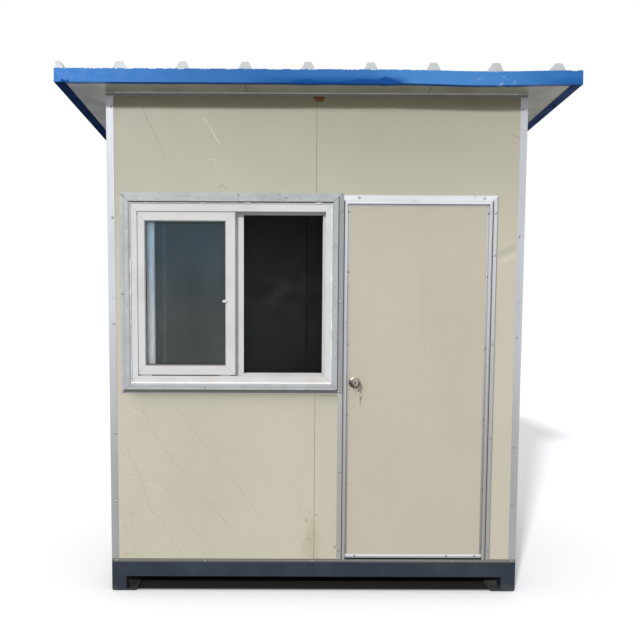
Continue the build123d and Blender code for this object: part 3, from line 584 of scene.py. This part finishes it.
scrapes("long_scrapes", "booth", "wall_skin", rubbed, wall_face, [
    (3.0, (-978, 1130), (-955, 1020), (-900, 907), (-821, 784), (-660, 589), (-515, 416), (-353, 217)),
    (2.8, (-830, 1130), (-739, 996), (-579, 794), (-418, 590), (-280, 383)),
    (2.6, (-854, 621), (-798, 506), (-694, 366), (-532, 192)),
    (3.0, (-1092, 906), (-1038, 776), (-975, 637), (-936, 489), (-864, 406), (-800, 282), (-727, 199)),
    (2.2, (-480, 1072), (-452, 1020), (-417, 965)),
    (1.8, (45, 869), (85, 915), (121, 959)),
    (3.0, (-790, 2600), (-745, 2585), (-690, 2545)),
    (1.8, (232, 2700), (234, 2560), (237, 2400)),
])
scrapes("dark_scrapes", "booth", "wall_skin", grimy, wall_face, [
    (2.2, (-960, 2724), (-925, 2640), (-887, 2560)),
    (1.2, (-887, 2560), (-850, 2480), (-820, 2410)),
    (2.0, (-540, 2268), (-519, 2288), (-503, 2268), (-486, 2276)),
    (2.2, (-6, 1017), (10, 1018), (24, 1016)),
    (2.0, (-1108, 2143), (-1092, 2121)),
    (2.4, (1066, 2566), (1095, 2553), (1115, 2540)),
    (6.0, (8, 446), (16, 438)),
    (8.0, (116, 262), (122, 246)),
    (5.0, (-47, 424), (-44, 400)),
    (2.4, (4, 1127), (60, 1124), (126, 1127)),
    (3.0, (-516, 1122), (-509, 1126), (-503, 1117)),
])
scrapes("bare_scrapes", "booth", "wall_skin", bared, wall_face, [
    (2.7, (-626, 2660), (-580, 2590), (-530, 2500)),
    (2.0, (-595, 2420), (-570, 2424), (-552, 2390)),
    (2.2, (-1051, 1056), (-1010, 1030), (-967, 1011)),
    (2.2, (-1109, 906), (-1085, 881)),
    (2.2, (-943, 625), (-900, 598), (-854, 580)),
    (2.0, (-1059, 655), (-1030, 658), (-1007, 650)),
])

# ---- Aluminium trim round the window ----
# Four lengths of beaded section, mitred at the corners and riveted to the wall over the
# panel's cut edge. It is streaked with old sealant and grey dust, and the bead's shade is painted
# in dark bands beside it.
frame_low, frame_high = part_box("window_frame")
trim_metal = aluminium("trim_metal", (174, 179, 179), (180, 183, 186), (1, 1, 1), 0.55, 1.2, 2.25)
bead_step = 0.021
painted_bead_shadow = (70, 72, 72)


def trim_band(side, low, high, colour):
    """Paints a band on one length of the trim, between two distances out from the plastic frame."""
    x, z = (place_on(trim_metal.node_tree, axis) for axis in "XZ")
    out = {"left": maths("SUBTRACT", frame_low.x, x), "right": maths("SUBTRACT", x, frame_high.x),
           "foot": maths("SUBTRACT", frame_low.z, z), "head": maths("SUBTRACT", z, frame_high.z)}
    here = out.pop(side)
    furthest = (maths("GREATER_THAN", here, other) for other in out.values())
    overpaint(trim_metal, times(within(here, low, high), *furthest), colour)


bead_reach = frame_low.z - trim_low.z - bead_step
# painted shadow that the bead casts on the right flange
trim_band("right", bead_reach - 0.0018, bead_reach + 0.0035, painted_bead_shadow)
trim_band("right", bead_reach + 0.0035, 0.07, (150, 152, 154))
# lower flange at the foot painted dark: painted shadow of the bead, and grime
trim_band("foot", bead_reach - 0.001, 0.0525, (92, 92, 88))
trim_band("foot", bead_reach * 0.46, bead_reach * 0.56, (150, 153, 154))
# painted shade along the step between bead and flange on the left
trim_band("left", bead_reach - 0.001, bead_reach + 0.002, (128, 130, 130))
# painted shadow of the bead at the head
trim_band("head", 0.001, 0.0075, painted_bead_shadow)


def mitre_lines(material, low, high, reach, width):
    """Darkens thin lines at 45 degrees across a frame's four corners."""
    inward = []
    for axis, near, far in zip("XZ", low, high):
        place = place_on(material.node_tree, axis)
        inward.append(maths("MINIMUM", maths("SUBTRACT", place, near), maths("SUBTRACT", far, place)))
    line = times(maths("LESS_THAN", away(*inward), width), maths("LESS_THAN", inward[0], reach))
    overpaint(material, line, (0.3, 0.3, 0.3, 1), "MULTIPLY")


mitre_lines(trim_metal, (frame_low.x, frame_low.z), (frame_high.x, frame_high.z), 0.056, 0.0016)
dress(trim_metal, "window_trim")
trim_inset = 0.01
flange_left, flange_right = trim_low.x + trim_inset, trim_high.x - trim_inset
flange_foot, flange_head = trim_low.z + trim_inset, trim_high.z - trim_inset
trim_rivets = [(flange_left + 0.004, flange_head - 0.004), (-0.43, flange_head), (flange_left, 1.688),
               (flange_left, flange_foot + 0.008), (flange_right, 2.149), (flange_right, 1.649),
               (flange_right - 0.012, flange_foot)]
stand_rows("trim_rivets", "booth", "aluminium_track",
           [(Vector((x, post_low.y, z)), front) for x, z in trim_rivets], rivet_sizes)

scrapes("trim_scrapes", "booth", "aluminium_track", grimy, trim_low.y, [
    (2.9, (-262, 2204), (-235, 2213), (-205, 2208), (-178, 2217), (-145, 2211)),
    (1.3, (-228, 2201.5), (-200, 2205), (-170, 2202)),
    (1.5, (-100, 2219), (-85, 2210), (-68, 2203)),
    (1.3, (-600, 2207), (-520, 2210), (-470, 2206)),
    (1.4, (80, 2213), (100, 2217), (118, 2212)),
    (1.3, (-930, 2205), (-900, 2209), (-850, 2206)),
])

# a hand-run bead of grey-white sealant between the trim and the plastic frame
sealant = two_toned("sealant", (17, 5), (248, 248, 247), (206, 206, 203), 0.45, (0.56, 0.76))


def circle(radius, count):
    """Points round a circle."""
    angles = (2 * math.pi * k / count for k in range(count))
    return [(radius * math.cos(a), radius * math.sin(a)) for a in angles]


def bead_mesh(name, path, radii, closed=False):
    """A bead or wire round a line of places, thick or thin from place to place."""
    maker = bmesh.new()
    section = circle(1, 6)
    count = len(path)
    rings = []
    for i, place in enumerate(path):
        before = path[i - 1] if i or closed else place
        after = path[(i + 1) % count] if i + 1 < count or closed else place
        along = (after - before).normalized()
        side = along.cross(Vector((0.1, -1, 0.07))).normalized()
        other = side.cross(along)
        rings.append([maker.verts.new(place + radii[i] * (x * side + y * other)) for x, y in section])
    join_rings(maker, rings, closed)
    mesh = settled(maker, name)
    mesh.shade_smooth()
    return mesh


bead_face, bead_foot, bead_pitch = frame_low.y - 0.0046, frame_low.z + 0.0025, 0.008
corners = [Vector((x, bead_face, z)) for x, z in (
    (frame_low.x, bead_foot), (frame_high.x, bead_foot), (frame_high.x, frame_high.z),
    (frame_low.x, frame_high.z))]
bead_line = []
for start, end in zip(corners, corners[1:] + corners[:1]):
    count = round((end - start).length / bead_pitch)
    bead_line += [start.lerp(end, i / count) for i in range(count)]
bead_sizes = [0.0056 + 0.0012 * noise.noise(place * 7) if place.z < bead_foot + 0.001
              else 0.0022 + 0.0034 * max(0, noise.noise(place * 21)) + 0.0018 * abs(noise.noise(place * 70))
              for place in bead_line]
window_bead = bead_mesh("window_sealant", bead_line, bead_sizes, closed=True)
add_piece("window_sealant", window_bead, "booth", "aluminium_track", sealant)

# ---- Window frame and sashes ----
# White plastic sections, cut at 45 degrees and welded at the corners. Dust lies in the tracks
# and along the sill, and black gaskets hold the panes.
outer_low, outer_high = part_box("outer_sash")
inner_low, inner_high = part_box("inner_sash")
roller_drop = 0.018
sash_face = 0.056
hairline = 0.0007


def pvc(name, low, high, reach):
    """White plastic, soiled and specked, creamier near the sill, dusty where it lies level."""
    made, tree = new_finish(name, 0.33)
    colour = stain((218, 218, 219), grain(tree, 5, 6), 0.35, 0.8, (202, 200, 198), 0.6)
    colour = stain(colour, grain(tree, 130, 3), 0.66, 0.72, (160, 156, 150), 0.4)
    sill = times(between(place_on(tree, "Z"), 1.32, 1.18), grain(tree, 9, 5))
    colour = stain(colour, sill, 0.3, 0.8, (206, 198, 190))
    colour = stain(colour, facing(tree, "Z"), 0.5, 0.9, (120, 114, 104), 0.7)
    coat(made, colour, grain(tree, 12, 4), 0.28, 0.42)
    mitre_lines(made, low, high, reach, hairline)
    return made


frame_pvc = pvc("frame_pvc", (frame_low.x, frame_low.z + 0.006), (frame_high.x, frame_high.z - 0.009), 0.048)
outer_pvc, inner_pvc = (
    pvc(name, (low.x, low.z + roller_drop), (high.x, high.z), sash_face)
    for name, low, high in (("outer_pvc", outer_low, outer_high), ("inner_pvc", inner_low, inner_high)))
dress(frame_pvc, "window_frame")
dress(outer_pvc, "outer_sash", "window_latch")
dress(inner_pvc, "inner_sash")

# ---- Window glass ----
# 5 mm float glass with a film of dust and dried runs of rain, and a painted bluish reflection of
# the sky, strongest at the top. A black rubber gasket pushed into the sash holds each pane on both faces.
glazing, tree = new_finish("glazing", 0.0, specular=0.55)
# the bluish Specular Tint is a painted reflection of the sky
for key, value in (("Specular Tint", (0.86, 0.98, 1.0, 1)), ("Transmission Weight", 0.982), ("IOR", 1.22)):
    tree.nodes["Principled BSDF"].inputs[key].default_value = value
film = between(grain(tree, 4, 6, (1, 1, 0.5)), 0.3, 0.8)
low_tint = mixed(film, (238, 242, 243), (222, 226, 228))
# bluer towards the top: a painted reflection of the sky
painted_sky_tint = mixed(film, (222, 238, 248), (204, 222, 234))
feed(glazing, "Base Color", stain(low_tint, place_on(tree, "Z"), 1.5, 2.05, painted_sky_tint))
dress(glazing, "window_glass")

gasket_rubber = two_toned("gasket_rubber", (50, 4), (34, 34, 35), (58, 57, 55), 0.6)
gasket_width, lip, pane_thickness = 0.0035, 0.003, 0.005
maker = bmesh.new()
glass_low, glass_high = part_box("window_glass")
for low, high, pane in ((outer_low, outer_high, glass_low.y),
                        (inner_low, inner_high, glass_high.y - pane_thickness)):
    x_low, x_high = low.x + sash_face, high.x - sash_face
    z_low, z_high = low.z + roller_drop + sash_face, high.z - sash_face
    back = pane + pane_thickness
    for y_far, y_near in ((pane, pane - lip), (back, back + lip)):
        rings = []
        for inset, y in ((0, y_far), (0, y_near), (gasket_width * 0.6, y_near), (gasket_width, y_far)):
            rings.append([maker.verts.new(corner) for corner in (
                (x_low + inset, y, z_low + inset), (x_high - inset, y, z_low + inset),
                (x_high - inset, y, z_high - inset), (x_low + inset, y, z_high - inset))])
        join_rings(maker, rings, closed=True)
add_piece("glass_gaskets", settled(maker, "glass_gaskets"), "booth", "window_plastic", gasket_rubber)

# ---- Door frame ----
# The same aluminium as the trim in a deeper section with a stop bead, mitred at the head. The groove
# beside the bead and the outer edge of the hinge side's flange are painted dark as shade.
jamb_low, jamb_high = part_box("door_jamb_left")
outer_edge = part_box("door_jamb_right")[1].x
head_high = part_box("door_head")[1]
door_low, door_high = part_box("door_edging")
stop_bead, flange_inset, flange_step = 0.016, 0.013, 0.002
door_middle = (door_low.x + door_high.x) / 2
reveal = door_middle - (jamb_high.x - stop_bead)
jamb_metal = aluminium("door_frame_metal", (206, 207, 211), (166, 163, 162), along_z, 0.35, 0.3, 2.25)
# painted shade in the groove beside the bead
band_across(jamb_metal, "X", reveal - 0.0005, reveal + 0.0055, (74, 72, 70), door_middle)
# painted shade along the outer edge of the hinge side's flange
band_across(jamb_metal, "X", outer_edge - 0.0048, outer_edge + 0.001, (140, 138, 134))
head_metal = aluminium("door_head_metal", (232, 234, 240), (222, 224, 230), along_x, 0.3, 0.3, 2.25)
dress(jamb_metal, "door_jamb_left", "door_jamb_right")
dress(head_metal, "door_head")
jamb_rivets = [(jamb_low.x + flange_inset, z) for z in (0.234, 0.691)]
jamb_rivets += [(outer_edge - flange_inset, z) for z in (0.234, 0.885, 1.415, 1.909, 2.138)]
jamb_rivets += [(x, head_high.z - 0.014) for x in (0.236, 0.924)]
stand_rows("door_frame_rivets", "booth", "aluminium_track",
           [(Vector((x, post_low.y - flange_step, z)), front) for x, z in jamb_rivets], rivet_sizes)

# ---- Door leaf ----
# A foam panel like the walls in a slightly pinker ivory, in a ring of aluminium edging that is
# riveted through its flanges.
door_skin = ivory_skin("door_skin", (195, 188, 170), (179, 173, 155), (184, 177, 158))
edging_metal = aluminium("edging_metal", (196, 197, 204), (150, 147, 144), along_z, 0.5, 0.3, 2.2)
foot_edge, bright_foot = door_low.z + 0.01, door_low.z + 0.0215
band_across(edging_metal, "Z", door_low.z, foot_edge, (164, 164, 173))
band_across(edging_metal, "Z", foot_edge, bright_foot, (224, 224, 232))
dress(door_skin, "door_leaf")
dress(edging_metal, "door_edging")
edging_inset = 0.016
edging_rivets = [(door_low.x + edging_inset, z) for z in (0.257, 0.622, 1.016, 1.41, 1.815, 2.144)]
edging_rivets += [(door_high.x - edging_inset, z) for z in (0.257, 0.593, 0.993, 1.393, 1.793, 2.138)]
edging_rivets += [(x, door_low.z + 0.011) for x in (0.231, 0.756, 0.916)]
edging_places = [(Vector((x, door_low.y, z)), front) for x, z in edging_rivets]
edging_places += [(Vector((x, door_high.y, z)), rear) for x, z in edging_rivets if x < door_high.x - 0.02]
stand_rows("edging_rivets", "door", "aluminium_track", edging_places, rivet_sizes)
leaf_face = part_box("door_leaf")[0].y
scrapes("door_chips", "door", "door_skin", bared, leaf_face, [
    (6.0, (772, 1929), (777, 1924)),
    (4.5, (457, 1176), (461, 1172)),
])
scrapes("door_scuffs", "door", "door_skin", rubbed, leaf_face, [
    (2.6, (480, 752), (530, 735), (585, 714)),
])

# ---- Hinges ----
# Three pressed steel butt hinges on the room side of the door, zinc plated, with four staggered
# screws to a leaf.
zinc = two_toned("zinc", (40, 4), (168, 166, 160), (128, 126, 120), 0.38, metallic=1.0)
dress(zinc, "hinge_jamb_leaves", "hinge_door_leaves")
leaf_thickness, hinge_height, screw_inset = 0.0025, 0.1, 0.01
first_screw, screw_pitch, stagger = 0.014, 0.024, 0.003
for node_name, body in (("hinge_jamb_leaves", "booth"), ("hinge_door_leaves", "door")):
    leaf_low, leaf_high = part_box(node_name)
    outer = leaf_high.x - screw_inset if body == "booth" else leaf_low.x + screw_inset
    hinge_pitch = (leaf_high.z - leaf_low.z - hinge_height) / 2
    screws = []
    for i in range(3):
        for k in range(4):
            shift = stagger if k % 2 else -stagger
            height = leaf_low.z + i * hinge_pitch + first_screw + screw_pitch * k
            screws.append((Vector((outer + shift, leaf_low.y + leaf_thickness, height)), rear))
    stand_rows(node_name + "_screws", body, "hinge_steel", screws,
               {"Head Radius": 0.004, "Head Height": 0.0009, "Stem Radius": 0.0013, "Metal": zinc,
                "Stem Metal": dark_stem_shade})

# ---- Knob lock and keys ----
# A cylinder knob set in brown-nickelled steel, with a painted highlight on its upper side and
# painted shade on the rest. A second key hangs on a wire ring from the one in the lock.
key_low, key_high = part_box("door_key")
lock_axis = Vector(((key_low.x + key_high.x) / 2, 0, (key_low.z + key_high.z) / 2))
nickel, tree = new_finish("nickel", 0.3, metallic=1.0)
worn = between(grain(tree, 34, 5), 0.4, 0.7)
worn_and_highlit_nickel = mixed(worn, (206, 200, 190), (176, 168, 156))
painted_shade_nickel = mixed(worn, (98, 88, 78), (70, 62, 54))
from_axis = node(tree, "ShaderNodeVectorMath", {0: place_on(tree, None, (1, 0, 1)), 1: lock_axis}, out=1,
                 operation="DISTANCE")
# painted highlight on the upward faces, painted shade on the sides and beneath
painted_crown_highlight = between(facing(tree, "Z"), -0.1, 0.75)
rim = times(between(from_axis, 0.0075, 0.0085), between(from_axis, 0.0125, 0.011))
colour = mixed(maths("MAXIMUM", painted_crown_highlight, rim), painted_shade_nickel, worn_and_highlit_nickel)
plug = times(between(from_axis, 0.008, 0.007), between(from_axis, 0.0025, 0.0035))
colour = mixed(plug, colour, (58, 50, 42))
coat(nickel, colour, grain(tree, 60, 4), 0.22, 0.36)
dress(nickel, "door_knobs", "lock_roses")
key_brass = two_toned("key_brass", (120, 4), (206, 202, 194), (164, 156, 146), 0.35, metallic=0.9)
dress(key_brass, "door_key")
ring_radius, wire_radius, ring_steps = 0.011, 0.0008, 40
ring_middle = Vector((lock_axis.x, key_low.y + 0.008, key_low.z + 0.003 - ring_radius))
ring_line = [ring_middle + Vector((x, 0, z)) for x, z in circle(ring_radius, ring_steps)]
ring_mesh = bead_mesh("key_ring", ring_line, [wire_radius] * ring_steps, closed=True)
add_piece("key_ring", ring_mesh, "knob", "key_metal", key_brass)

# the hanging key: a round bow with a hole, a blade and three cuts
hole_radius, hole_rise, key_thickness = 0.0022, 0.0045, 0.002
bow_middle = ring_middle - Vector((0, 0, ring_radius + 0.0012 + 0.006))
bow = [(0.0105 * math.cos(a), 0.0095 * math.sin(a)) for a in (math.radians(12.5 * k - 60) for k in range(25))]
blade = [(-0.0035, -0.012), (-0.0035, -0.036), (-0.002, -0.039), (0.0022, -0.036), (0.0008, -0.032),
         (0.0026, -0.028), (0.0006, -0.025), (0.003, -0.021), (0.003, -0.012)]
hole = [(x, hole_rise + z) for x, z in circle(hole_radius, 12)]
maker = bmesh.new()
for line in (bow + blade, hole):
    corners = [maker.verts.new((x, 0, z)) for x, z in line]
    for start, end in zip(corners, corners[1:] + corners[:1]):
        maker.edges.new((start, end))
bmesh.ops.triangle_fill(maker, use_beauty=True, use_dissolve=False, edges=maker.edges[:])
bmesh.ops.solidify(maker, geom=maker.faces[:], thickness=key_thickness)
swung, tilted = Matrix.Rotation(math.radians(35), 4, "Z"), Matrix.Rotation(math.radians(4), 4, "Y")
bmesh.ops.transform(maker, matrix=Matrix.Translation(bow_middle) @ swung @ tilted, verts=maker.verts)
add_piece("hanging_key", settled(maker, "hanging_key"), "knob", "key_metal", key_brass)

# ---- Roof panels ----
# Foam panels with a pale top sheet pressed into trapezoid ribs and a flat soffit that is darker and
# greyer towards its left end. Hexagon screws hold the ribs' crests over the two long walls.
roof_skin, tree = new_finish("roof_skin", 0.4)
top_colour = mixed(grain(tree, 5, 6), (206, 210, 212), (184, 192, 194))
top_colour = stain(top_colour, grain(tree, 9, 6, along_y), 0.45, 0.75, (164, 164, 156), 0.5)
soffit = stain((112, 118, 117), place_on(tree, "X"), -1.25, -1.0, (174, 173, 161))
soffit = stain(soffit, grain(tree, 6, 6, (1, 0.4, 1)), 0.45, 0.75, (144, 141, 128))
for joint in (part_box("roof_panel_left")[1].x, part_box("roof_panel_right")[0].x):
    on_joint = maths("LESS_THAN", away(place_on(tree, "X"), joint), 0.0018)
    soffit = mixed(on_joint, soffit, (84, 82, 74))
colour = mixed(maths("LESS_THAN", facing(tree, "Z"), -0.5), top_colour, soffit)
coat(roof_skin, colour, grain(tree, 8, 4), 0.34, 0.5)
raise_bumps(roof_skin, grain(tree, 4, 2), 0.003, 0.2)
dress(roof_skin, "roof_panel_left", "roof_panel_middle", "roof_panel_right")
fall = math.radians(3)
eaves_point = Vector((0, front_line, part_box("top_track_front")[1].z))
down_roof = Vector((0, math.cos(fall), -math.sin(fall)))
off_roof = Vector((0, math.sin(fall), math.cos(fall)))
roof_top = 0.112
first_rib, rib_pitch = -1.371, 0.329
zinc_screw = two_toned("screw_zinc", (90, 3), (170, 172, 176), (128, 124, 116), 0.4, metallic=0.8)
screw_sink = 0.0003
roof_screws = []
for i in range(9):
    for along in (0.025, 0.5, 0.98, 1.475) if i % 2 == 0 else (0.025, 1.475):
        rib = eaves_point + Vector((first_rib + rib_pitch * i, 0, 0))
        place = rib + down_roof * along + off_roof * roof_top - off_roof * screw_sink
        roof_screws.append((place, off_roof))
stand_rows("roof_screws", "booth", "roof_skin", roof_screws,
           {"Head Radius": 0.005, "Head Height": 0.005, "Washer Radius": 0.009, "Washer Height": 0.0014,
            "Hexagon": True, "Metal": zinc_screw})

# ---- Edge flashings ----
# Folded steel sheet in glossy blue, faded where the sun reaches and chipped along its cut edge.
# The front length has been knocked: it is creased inward along its foot and sags at the right.
face_line = -0.1502
fascia_foot = track_top - face_line * math.sin(fall)
blue_sheet, tree = new_finish("blue_sheet", 0.4, specular=0.1)
x, z = place_on(tree, "X"), place_on(tree, "Z")
blue = stain((42, 105, 172), grain(tree, 3, 5, (1, 1, 0.4)), 0.3, 0.75, (53, 115, 183))
blue = stain(blue, x, -0.45, -1.38, (57, 127, 206))
blue = mixed(times(between(x, 0.15, 0.45), between(x, 1.4, 0.8)), blue, (72, 133, 200))
# the foot of the sheet leans in at the middle and at the right end, and is painted darker there as shade
painted_shade_on_lean = times(between(x, -0.45, -0.15), between(x, 0.5, 0.4))
painted_shade_on_lean = times(maths("ADD", painted_shade_on_lean, between(x, 1.1, 1.35, 0, 0.7)),
                between(z, fascia_foot + 0.048, fascia_foot + 0.006))
blue = mixed(painted_shade_on_lean, blue, (22, 86, 158))
blue = stain(blue, grain(tree, 70, 4, (0.5, 1, 1)), 0.66, 0.72, (116, 160, 208), 0.35)
# faces bent to look down are painted darker as shade
blue = stain(blue, facing(tree, "Z"), -0.08, -0.22, (18, 78, 156), 0.85)
# rubbed places on the front length
rubbed_blue = times(between(grain(tree, 34, 5, (0.6, 1, 1), 0.7), 0.57, 0.63), between(x, 0.78, 0.86),
                    between(x, 1.06, 0.96), 0.5)
blue = mixed(rubbed_blue, blue, (176, 200, 224))
# primer and zinc bared along the cut top edge
edge_chips = between(grain(tree, 24, 4, (1, 1, 0.3), 0.7), 0.5, 0.54)
blue = mixed(times(edge_chips, between(z, 2.8562, 2.8588)), blue, (226, 230, 232))
coat(blue_sheet, blue, grain(tree, 20, 4), 0.34, 0.5)
raise_bumps(blue_sheet, grain(tree, 7, 3, (1, 1, 0.5)), 0.002, 0.3)
dress(blue_sheet, "fascia_rear")

verge_blue, tree = new_finish("verge_blue", 0.55, specular=0.0)
outer_blue = stain((40, 96, 160), grain(tree, 3, 5), 0.3, 0.75, (58, 116, 182))
# the returns grow lighter towards the right end: painted light at the right, painted shade at the left
returns = stain((32, 56, 104), place_on(tree, "X"), -0.6, 0.6, (78, 102, 156))
returns = stain(returns, grain(tree, 12, 5), 0.4, 0.75, (46, 68, 116))
outward_face = times(facing(tree, "X"), maths("SIGN", place_on(tree, "X")))
feed(verge_blue, "Base Color", stain(returns, outward_face, 0.5, 0.8, outer_blue))
raise_bumps(verge_blue, grain(tree, 7, 3), 0.002, 0.3)
dress(verge_blue, "fascia_left", "fascia_right")

fascia_low, fascia_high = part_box("fascia_front")
sheet, face_height, face_steps = 0.0012, 0.071, 24
hem_depth, hem_reach = 0.027, 1.325
# how far up the face the knocked-in foot reaches, from place to place along the roof
creases = [(-1.383, 0), (-1.35, 0), (-1.338, 0.016), (-1.322, 0.004), (-1.31, 0.012), (-1.3, 0),
           (-0.166, 0), (-0.11, 0.012), (-0.056, 0.021), (0.02, 0.008), (0.111, 0.006), (0.242, 0.024),
           (0.304, 0.014), (0.346, 0.036), (0.392, 0.02), (0.44, 0), (1.383, 0)]
crease_places, crease_heights = zip(*creases)
crease_lean, sag_lean, deepest_lean = 0.3, 0.062, 0.0109
sag_start, sag_lowest, sag_end, sag_depth = 0.44, 0.869, 1.335, 0.008


def sag_at(x):
    """How far the loose length hangs below its line."""
    if not sag_start < x < sag_end:
        return 0
    near = min((x - sag_start) / (sag_lowest - sag_start), (sag_end - x) / (sag_end - sag_lowest))
    return sag_depth * near * near * (3 - 2 * near)


def fascia_corner(x, back, height):
    """One corner of the sheet's section, leaned in and let down where it has been knocked."""
    foot = numpy.interp(x, crease_places, crease_heights)
    lean = max(0, foot - height) * crease_lean + sag_lean * sag_at(x)
    back += min(lean, deepest_lean)
    height -= sag_at(x)
    return maker.verts.new((x, front_line + back * math.cos(fall) + height * math.sin(fall),
                            track_top - back * math.sin(fall) + height * math.cos(fall)))


columns = 440
stations = [fascia_low.x + (fascia_high.x - fascia_low.x) * i / columns for i in range(columns + 1)]
stations = sorted(stations + [x for x, height in creases[1:-1]] + [-hem_reach - 1e-6, hem_reach + 1e-6])
face_rows = [-sheet + (face_height + sheet) * i / face_steps for i in range(face_steps + 1)]
maker = bmesh.new()
rings = []
for x in stations:
    hem_end = face_line + (hem_depth if abs(x) < hem_reach + 5e-7 else sheet)
    profile = [(face_line, height) for height in reversed(face_rows)] + [(hem_end, -sheet), (hem_end, 0)]
    profile += [(face_line + sheet, max(height, 0)) for height in face_rows[1:]]
    rings.append([fascia_corner(x, back, height) for back, height in profile])
join_rings(maker, rings)
bmesh.ops.remove_doubles(maker, verts=maker.verts, dist=2e-6)
fascia_mesh = settled(maker, "fascia_front_knocked")
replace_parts(add_piece("fascia_front_knocked", fascia_mesh, "booth", "blue_flashing", blue_sheet),
            "fascia_front")

# ---- Sealant and a paper scrap under the eaves ----
# A thin bead of pale sealant closes the joint of soffit and top track, run by hand. A scrap of
# brown packing paper is still stuck to the track's lower edge.
joint_end = Vector((1.098, front_line - 0.0004, track_top - 0.0012))
joint_start, joint_steps = Vector((-joint_end.x, joint_end.y, joint_end.z)), 183
eaves_line = [joint_start.lerp(joint_end, i / joint_steps) for i in range(joint_steps + 1)]
eaves_sizes = [0.0012 + 0.0018 * abs(noise.noise(place * 11)) for place in eaves_line]
eaves_mesh = bead_mesh("eaves_sealant", eaves_line, eaves_sizes)
add_piece("eaves_sealant", eaves_mesh, "booth", "aluminium_track", sealant)

brown_paper = two_toned("brown_paper", (60, 5), (142, 96, 58), (98, 62, 38), 0.85, (0.35, 0.7), specular=0.2)
raise_bumps(brown_paper, grain(brown_paper.node_tree, 120, 4), 0.0008, 0.6)
scrap_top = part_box("top_track_front")[0].z + 0.003
scrap_middle, scrap_width, scrap_drop, taper, paper = 0.012, 0.062, 0.024, 0.35, 0.0004
maker = bmesh.new()
rows = []
for down in (k / 6 for k in range(7)):
    rows.append([])
    for along in (i / 12 for i in range(13)):
        width = scrap_width * (1 - taper * down)
        curl = 0.004 * math.sin(3 * along + 1) * down + 0.006 * down * down
        frayed = 0.0025 * noise.noise(Vector((along * 9, 4, 0))) * (down == 1)
        rows[-1].append(maker.verts.new((scrap_middle + width * (along - 0.5), front_line - 0.0006 - curl,
                                         scrap_top - scrap_drop * down + frayed)))
for upper, lower in zip(rows, rows[1:]):
    for i in range(12):
        maker.faces.new((upper[i], upper[i + 1], lower[i + 1], lower[i]))
raised = bmesh.ops.extrude_face_region(maker, geom=maker.faces[:])["geom"]
raised = [corner for corner in raised if isinstance(corner, bmesh.types.BMVert)]
bmesh.ops.translate(maker, vec=(0, -paper, 0), verts=raised)
add_piece("paper_scrap", settled(maker, "paper_scrap"), "booth", "wall_skin", brown_paper)
